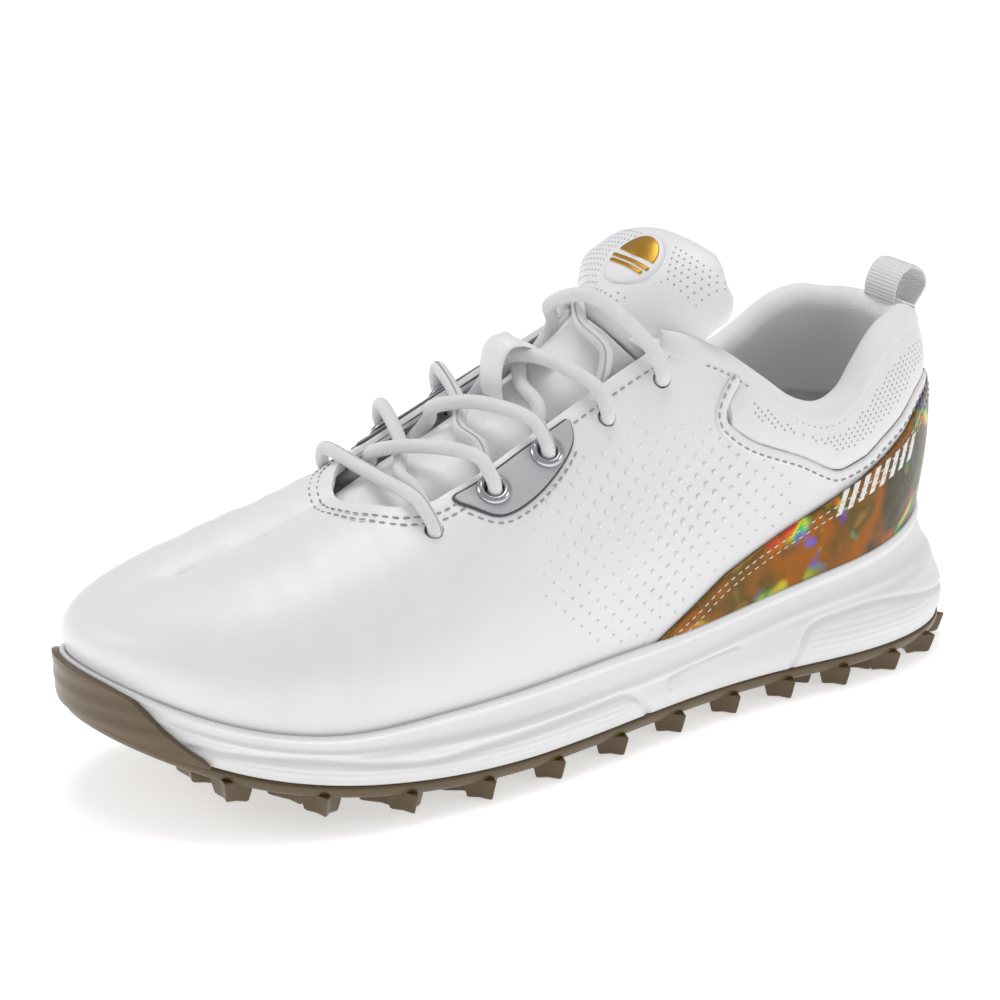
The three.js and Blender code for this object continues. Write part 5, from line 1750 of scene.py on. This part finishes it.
@dataclass
class Tongue:
    """The thin lower part of the tongue, its padded top, the badge and the lace keeper."""

    seam: float = 99.0
    split: float = 0.9
    end: float = 139.0
    padding: float = 10.0
    crown: float = 0.8
    squareness: float = 2.9
    badge_place: float = 122.0
    badge_radius: float = 10.3

    def sheet(self, start: float, stop: float, top: float, bottom: float) -> Solid:
        """A layer of the tongue with rounded sides.

        Args:
            start: Where on the tongue it starts.
            stop: Where it ends.
            top: Height of its front face.
            bottom: Height of its back face.

        Returns:
            The closed solid.
        """
        s = np.linspace(start, stop, 120)
        half = TONGUE_TABLE.at(s, 3) * (1.22 - 0.22 * smoothstep(s, 60, 95))
        section = oval(2, 1, 44, 5)
        lift = 1.6 * (1 - smoothstep(s, 18, 45))
        rows = [on_tongue(s, c * half, lift + (top + bottom) / 2 + h * (top - bottom)) for c, h in section]
        return net(np.array(rows).transpose(1, 0, 2), round_v=True, capped=True)

    def lower(self) -> None:
        """Skin and lining below the padded top."""
        skin = self.sheet(-1.5, self.seam - self.split, 1.0, -1.2)
        build("tongue_skin", skin, Looks.WHITE, nodes=["tongue_lower_skin"])
        lining = self.sheet(0, self.seam - self.split, -1.5, -3.8)
        build("tongue_lining", lining, Looks.LINING, nodes=["tongue_lower_lining"])

    def closing(self, s: Array) -> Array:
        """Share of its full thickness that the padded top has towards its end."""
        far = (s - self.seam - 6) / (self.end - self.seam - 6)
        return np.sqrt(np.clip(1 - far.clip(0, 1) ** 4, 0.03, 1))

    def opening(self, s: Array) -> Array:
        """Share of its full thickness that the padded top has at its seam."""
        return np.sqrt(np.clip((s - self.seam) / 4, 0.45, 1))

    def top(self) -> None:
        """The padded top with rounded edges, perforated on its front."""
        run = np.sin(np.linspace(0, np.pi / 2, 70)) ** 0.9
        s = self.seam + self.split + (self.end - self.seam - self.split) * run
        half = TONGUE_TABLE.at(s, 3)
        close, start = self.closing(s), self.opening(s)
        thick = self.padding * close * start
        inner = np.maximum(FLARED.at(s), half)
        outer = np.maximum(half, np.interp(s, [99, 106, 112, 118, 124], [19, 20, 22, 25, 29]))
        rows = []
        for c, h in oval(2, 1, 64, self.squareness):
            wide = (inner if c < 0 else outer) * (0.55 + 0.45 * close)
            puff = self.crown * (1 - c**4) * start * close
            lift = -self.padding / 2 + h * thick + (puff if h > 0 else -puff)
            rows.append(on_tongue(s, c * wide, lift))
        pad = net(np.array(rows).transpose(1, 0, 2), round_v=True, capped=True)
        top = build("tongue_pad", pad, Looks.PERFORATED, Body.TONGUE_TOP,
                    nodes=["tongue_top_skin", "tongue_foam", "tongue_top_lining"])
        self.holes()

    def holes(self) -> None:
        """Pin holes over the front of the padded top, round the badge."""
        spots = []
        for i, s0 in enumerate(np.arange(self.seam + 5, self.end - 5, 2.0)):
            reach = float(TONGUE_TABLE.at(np.array([s0]), 3)[0]) - 3.5
            low = float(FLARED.at(np.array([s0]))[0]) - 3.5
            spots += [(s0, y) for y in np.arange(-15, 15.1) * 2.2 + 1.1 * (i % 2) if -low < y < reach]
        flat = np.array(spots)
        flat = flat[np.hypot(flat[:, 0] - self.badge_place, flat[:, 1]) > 12.5]
        s, y = flat.T
        half = TONGUE_TABLE.at(s, 3)
        half = np.where(y < 0, np.maximum(FLARED.at(s), half), half)
        close, start = self.closing(s), self.opening(s)
        c = (y / ((0.55 + 0.45 * close) * half)).clip(-0.98, 0.98)
        high = (1 - np.abs(c) ** self.squareness) ** (1 / self.squareness) / 2
        puff = self.crown * (1 - c**4) * start * close
        lift = -self.padding / 2 + high * self.padding * close * start + puff
        p, n = on_tongue(s, y, lift), tongue_out(s, y)
        holes = domes(p + n * 0.02, n, np.full(len(p), PIN_HOLE), 0.04, 8)
        build("tongue_holes", holes, Looks.HOLE, Body.TONGUE_TOP)

    def badge(self) -> None:
        """A round white patch with a gold half disc over two bars."""
        place, radius = self.badge_place, self.badge_radius
        r = np.linspace(0.2, radius, 10)
        t = np.linspace(0, 2 * np.pi, 64, endpoint=False)
        reach, turn = np.meshgrid(r, t, indexing="ij")
        lift = 1.25 - 0.35 * (1 - np.clip((radius - reach) / 0.6, 0, 1))
        top = on_tongue(place + reach * np.cos(turn), reach * np.sin(turn), lift)
        low = on_tongue(place + reach * np.cos(turn), reach * np.sin(turn), -0.5)
        patch = net(np.concatenate([top, low[::-1]]), round_u=True, round_v=True)
        build("emblem_patch", patch, Looks.PERFORATED, Body.TONGUE_TOP, nodes=["tongue_badge"])
        section = ((0.4, 1.0), (0.4, 1.5), (0.7, 1.65), (8.2, 1.65), (8.5, 1.5), (8.5, 1.0))
        rows = []
        for a in np.linspace(-1.5, 1.5, 48):
            rows.append([on_tongue(place + 0.4 + q * math.cos(a), q * math.sin(a), h) for q, h in section])
        total = net(np.array(rows), round_v=True, capped=True)
        for drop, half in ((1.6, 8.6), (3.6, 7.6)):
            ys = np.linspace(-half, half, 20)
            bar = ((-0.6, 1.0), (-0.55, 1.6), (0.55, 1.6), (0.6, 1.0))
            rows = [on_tongue(place - drop + c, ys, h) for c, h in bar]
            total = total.joined(net(np.array(rows).transpose(1, 0, 2), round_v=True, capped=True))
        build("emblem_gold", total, Looks.GOLD, Body.TONGUE_TOP)

    def keeper(self) -> None:
        """The strap over the crossed laces."""
        share = np.linspace(0, 1, 50)
        s = 70 + 21 * (share - 0.5)
        lift = GAP + 13.8 * np.sin(np.pi * share) ** 0.7
        rows = []
        for c, h in oval(12, 1.3, 30, 4):
            rows.append(on_tongue(s, c, lift + 0.65 + h))
        strap = net(np.array(rows).transpose(1, 0, 2), round_v=True, capped=True)
        build("keeper_strap", strap, Looks.WHITE, nodes=["lace_keeper"])


@dataclass
class Lacing:
    """The lace, from the bar across the front to the tucked ends at the top."""

    radius: float = 2.0
    turn: float = 3.0
    under: float = 3.15
    over_other: float = 4.3

    def dive(self, row: int, side: int) -> list[Array]:
        """Down into an eyelet and a turn back beneath the facing.

        Args:
            row: Row of the eyelet.
            side: 1 for the outer side and -1 for the inner.

        Returns:
            Points of the strand.
        """
        at, out = next((a, o) for r, s, a, o in FRAMES if r == row and s == side)
        inward = unit(np.array([0.0, -side, 0.0]) + out * side * out[1])
        ringed = row in RINGED_ROWS
        face = 2.4 if ringed else 0.0
        back = 4.65 if ringed else self.under
        rest = self.radius + GAP
        heights = (
            (face + rest + 1.5, 8.5), (face + rest + 0.8, 1.3 * self.turn), (face + 1, 0), (-back, 0),
            (-back - rest - 0.3, 0.6 * self.turn))
        return [at + out * h + inward * w for h, w in heights]

    def over(self, s: float, y: float, extra: float = 0.0) -> Array:
        """Over the tongue, clear of its slope."""
        bend = float(TONGUE_TABLE.at(np.array([s]), 4)[0])
        return on_tongue(s, y, (self.radius + GAP + extra) * math.hypot(1, 2 * bend * y))

    def under_edge(self, row: int, side: int) -> Array:
        """Beside a row, under the edge of the gap.

        Args:
            row: Row of the eyelet.
            side: 1 for the outer side and -1 for the inner.

        Returns:
            A point of the strand.
        """
        x = EYELETS[row][0] - 2.0
        y = float(THROAT.at(np.array([x]), 2)[0] + side * (THROAT.at(np.array([x]))[0] + 0.5))
        uv = LAST.find(np.array([[x, y]]), (0, 1), side)
        panel = 1 if row in RINGED_ROWS else 0.2
        return LAST.point(uv)[0] - LAST.normal(uv)[0] * (self.under + self.radius + GAP + panel)

    def crossing(self, row: int, side: int) -> list[Array]:
        """Out from under the edge, over the tongue and down into the next eyelet on the other side.

        Args:
            row: Row that the strand leaves.
            side: Side that it leaves.

        Returns:
            Points of the strand.
        """
        start, end = tongue_distance(EYELETS[row][0] - 3), tongue_distance(EYELETS[row + 1][0] + 6)
        extra = 0.6 + (self.over_other if side < 0 else 0.0)
        middle = (start + end) / 2
        return [
            self.under_edge(row, side), self.over(start + 2, side * 14.5, 1.6),
            self.over(middle - 4, side * 6, extra), self.over(middle + 4, -side * 6, extra),
            *self.dive(row + 1, -side)]

    def half(self, side: int) -> list[Array]:
        """One strand, from the bar to its end.

        Args:
            side: Side on which the strand starts.

        Returns:
            Points from the bar to the end.
        """
        points = [self.over(tongue_distance(197), side * 7, 3.8), *self.dive(0, side)]
        here = side
        for row in range(4):
            points += self.crossing(row, here)
            here = -here
        return points

    def build(self) -> None:
        """The lace as one slightly flattened cord."""
        line = resampled(centripetal([*self.half(1)[::-1], *self.half(-1)]), 0.7)
        for _ in range(5):
            line[1:-1] = line[1:-1] * 0.5 + (line[:-2] + line[2:]) * 0.25
        run = unit(np.gradient(line, axis=0))
        up = np.zeros_like(line)
        up[0] = unit(np.cross(run[0], [1, 0, 0.2]))
        for i in range(1, len(line)):
            up[i] = unit(up[i - 1] - run[i] * (up[i - 1] @ run[i]))
        build("lace_cord", swept(line, up, oval(4.5, 4.1, 20)), Looks.LACE, nodes=["lace"])


@dataclass
class PullTab:
    """The ribbon at the heel: a free loop over a length that is sewn down."""

    width: float = 15.0
    thickness: float = 1.1
    rib: float = 1.1
    step: float = 0.35

    @staticmethod
    def back(height: float, out: float = 1.2) -> tuple[float, float]:
        """Where the ribbon lies against the heel.

        Args:
            height: Height in mm.
            out: How far off the heel the ribbon lies.

        Returns:
            A point of x and z.
        """
        vs = np.linspace(0, 1, 2000)
        p = LAST.point(np.stack([np.zeros_like(vs), vs], -1))
        v = np.interp(height, p[:, 2], vs)
        return float(LAST.point(np.array([[0.0, v]]), out)[0, 0]), height

    def ribbon(self, path: Sequence[tuple[float, float]]) -> Solid:
        """A ribbon along a path of x and z.

        Args:
            path: Points of x and z.

        Returns:
            The closed solid.
        """
        flat = rounded(path, 0.5)
        line = resampled(np.stack([flat[:, 0], np.zeros(len(flat)), flat[:, 1]], -1), self.step)
        up = np.cross(unit(np.gradient(line, axis=0)), [0.0, 1.0, 0.0])
        section = oval(self.width, self.thickness, 28, 5)
        shape = swept(line, up, section)
        far = np.arange(len(line)) * self.step
        wave = 0.06 * np.sin(2 * np.pi * far / self.rib)
        shape.points = shape.points + np.repeat(up * wave[:, None], len(section), 0)
        return shape

    def build(self) -> None:
        """Loop and anchor."""
        loop = [
            (11.5, 109.6), (11, 114), (8.5, 118.5), (4.5, 120.2), (0.5, 118.3), (-1, 113.5),
            self.back(107.6)]
        build("tab_loop", self.ribbon(loop), Looks.RIBBON, Body.PULL_TAB, nodes=["pull_tab_loop"])
        anchor = [self.back(h) for h in (107, 102, 97, 92)]
        build("tab_anchor", self.ribbon(anchor), Looks.RIBBON, nodes=["pull_tab_anchor"])


# ------------------------------------------------------------------ what stays from the CAD, and the stage
def dress_inside() -> None:
    """Finishes for the hidden parts, whose own meshes stay."""
    looks = {
        "upper_lining": Looks.LINING,
        "toe_puff": Looks.BOARD,
        "heel_counter": Looks.BOARD,
        "insole_board": Looks.BOARD,
        "lace_facing_outer": Looks.LINING,
        "lace_facing_inner": Looks.LINING,
        "shank": Looks.SHANK,
        "sockliner": Looks.SOCK,
    }
    for node, (finish, _) in looks.items():
        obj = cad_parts[node]
        obj.data.materials.clear()
        obj.data.materials.append(finish.material())
        log.info("%s keeps its own mesh", node)


FLOOR_DROP = -0.4                # so that the floor and the lugs' faces don't share a plane


@dataclass
class Studio:
    """White sweep, soft lights and the camera."""

    azimuth: float = 147.6
    elevation: float = 20.0
    distance: float = 1000.0
    target: tuple[float, float, float] = (154.0, 0.0, 69.0)
    lens: float = 120.06
    # Name, place from the target in metres, size in metres and power in watts.
    lamps: tuple[tuple[str, tuple[float, float, float], float, float], ...] = (
        ("top", (-0.1, -0.2, 1.3), 0.8, 7.6),
        ("toe", (1.3, -0.5, 0.8), 0.5, 3.3),
        ("side", (-0.9, 0.9, 0.5), 0.35, 1.6),
    )
    floor_half: float = 6.0
    glow: float = 0.55
    sky: float = 0.45

    def aim(self) -> Vector:
        """The target in the frame."""
        return Vector(in_frame(np.array(self.target)))

    @staticmethod
    def look(obj: bpy.types.Object, along: Vector) -> None:
        """Turns a camera or a lamp so that it looks along a direction."""
        obj.rotation_mode = "QUATERNION"
        obj.rotation_quaternion = along.to_track_quat("-Z", "Y")

    def camera(self) -> None:
        """The camera of the main view."""
        data = bpy.data.cameras.new("camera")
        data.lens, data.sensor_width = self.lens, 36.0
        data.clip_start, data.clip_end = 0.05, 20.0
        obj = bpy.data.objects.new("camera", data)
        bpy.context.scene.collection.objects.link(obj)
        a, e = math.radians(self.azimuth), math.radians(self.elevation)
        back = Vector((math.sin(a) * math.cos(e), -math.cos(a) * math.cos(e), math.sin(e)))
        obj.location = self.aim() + back * self.distance * MM
        self.look(obj, -back)
        bpy.context.scene.camera = obj
        bpy.context.scene.view_settings.view_transform = "Standard"

    def lights(self) -> None:
        """A large soft light above, one beyond the toe and a low one behind the heel."""
        for name, spot, size, power in self.lamps:
            data = bpy.data.lights.new(name, "AREA")
            data.energy, data.size = power, size
            obj = bpy.data.objects.new(name, data)
            bpy.context.scene.collection.objects.link(obj)
            obj.location = self.aim() + Vector(spot)
            self.look(obj, self.aim() - obj.location)

    def sweep(self) -> None:
        """White floor and world."""
        mesh = bpy.data.meshes.new("floor")
        half = self.floor_half
        corners = [(-half, -half, 0), (half, -half, 0), (half, half, 0), (-half, half, 0)]
        mesh.from_pydata(corners, [], [(0, 1, 2, 3)])
        obj = bpy.data.objects.new("floor", mesh)
        bpy.context.scene.collection.objects.link(obj)
        made = bpy.data.materials.new("paper")
        made.use_nodes = True
        tree = made.node_tree
        tree.nodes.clear()
        white = linear("#ffffff")
        shader = put(tree, "BsdfPrincipled", Base_Color=(0.9, 0.9, 0.9, 1), Roughness=0.9,
                     Emission_Color=white, Emission_Strength=self.glow)
        tree.links.new(shader.outputs[0], put(tree, "OutputMaterial").inputs["Surface"])
        mesh.materials.append(made)
        obj.location.z = FLOOR_DROP * MM
        world = bpy.data.worlds.new("world")
        world.use_nodes = True
        background = world.node_tree.nodes["Background"]
        background.inputs["Color"].default_value = white
        background.inputs["Strength"].default_value = self.sky
        bpy.context.scene.world = world


# Place, size and turn of the large star lugs.
LUGS = (
    (14, 20, 11, 20), (12, -16, 11, 160), (38, 29, 11, 0), (38, -28, 11, 180),
    (62, 28, 10, 10), (62, -27, 10, 170), (24, 3, 9, 90), (50, 1, 9, 90),
    (140, 32, 9, 0), (140, -28, 9, 180), (166, 38, 11, 0), (166, -36, 11, 180),
    (192, 41, 12, 0), (192, -38, 12, 180), (218, 40, 12, -10), (218, -38, 12, 190),
    (243, 32, 12, -20), (243, -36, 12, 200), (265, 16, 11, -50), (263, -25, 11, 230),
    (180, 2, 9, 90), (206, 1, 9, 90), (234, -2, 9, 90),)


def main() -> None:
    """Builds every piece and the stage."""
    logging.basicConfig(level=logging.INFO)
    studio = Studio()
    studio.camera()
    upper = Upper()
    upper.shell()
    upper.stays()
    upper.throat_threads()
    upper.eyelets()
    upper.overlay()
    upper.quarter_dots()
    upper.collar_panels()
    upper.ear_rims()
    Collar().build()
    sole = Sole()
    sole.midsole()
    sole.outsole(LUGS)
    tongue = Tongue()
    tongue.lower()
    tongue.top()
    tongue.badge()
    tongue.keeper()
    Lacing().build()
    PullTab().build()
    dress_inside()
    studio.lights()
    studio.sweep()


if __name__ == "__main__":
    main()
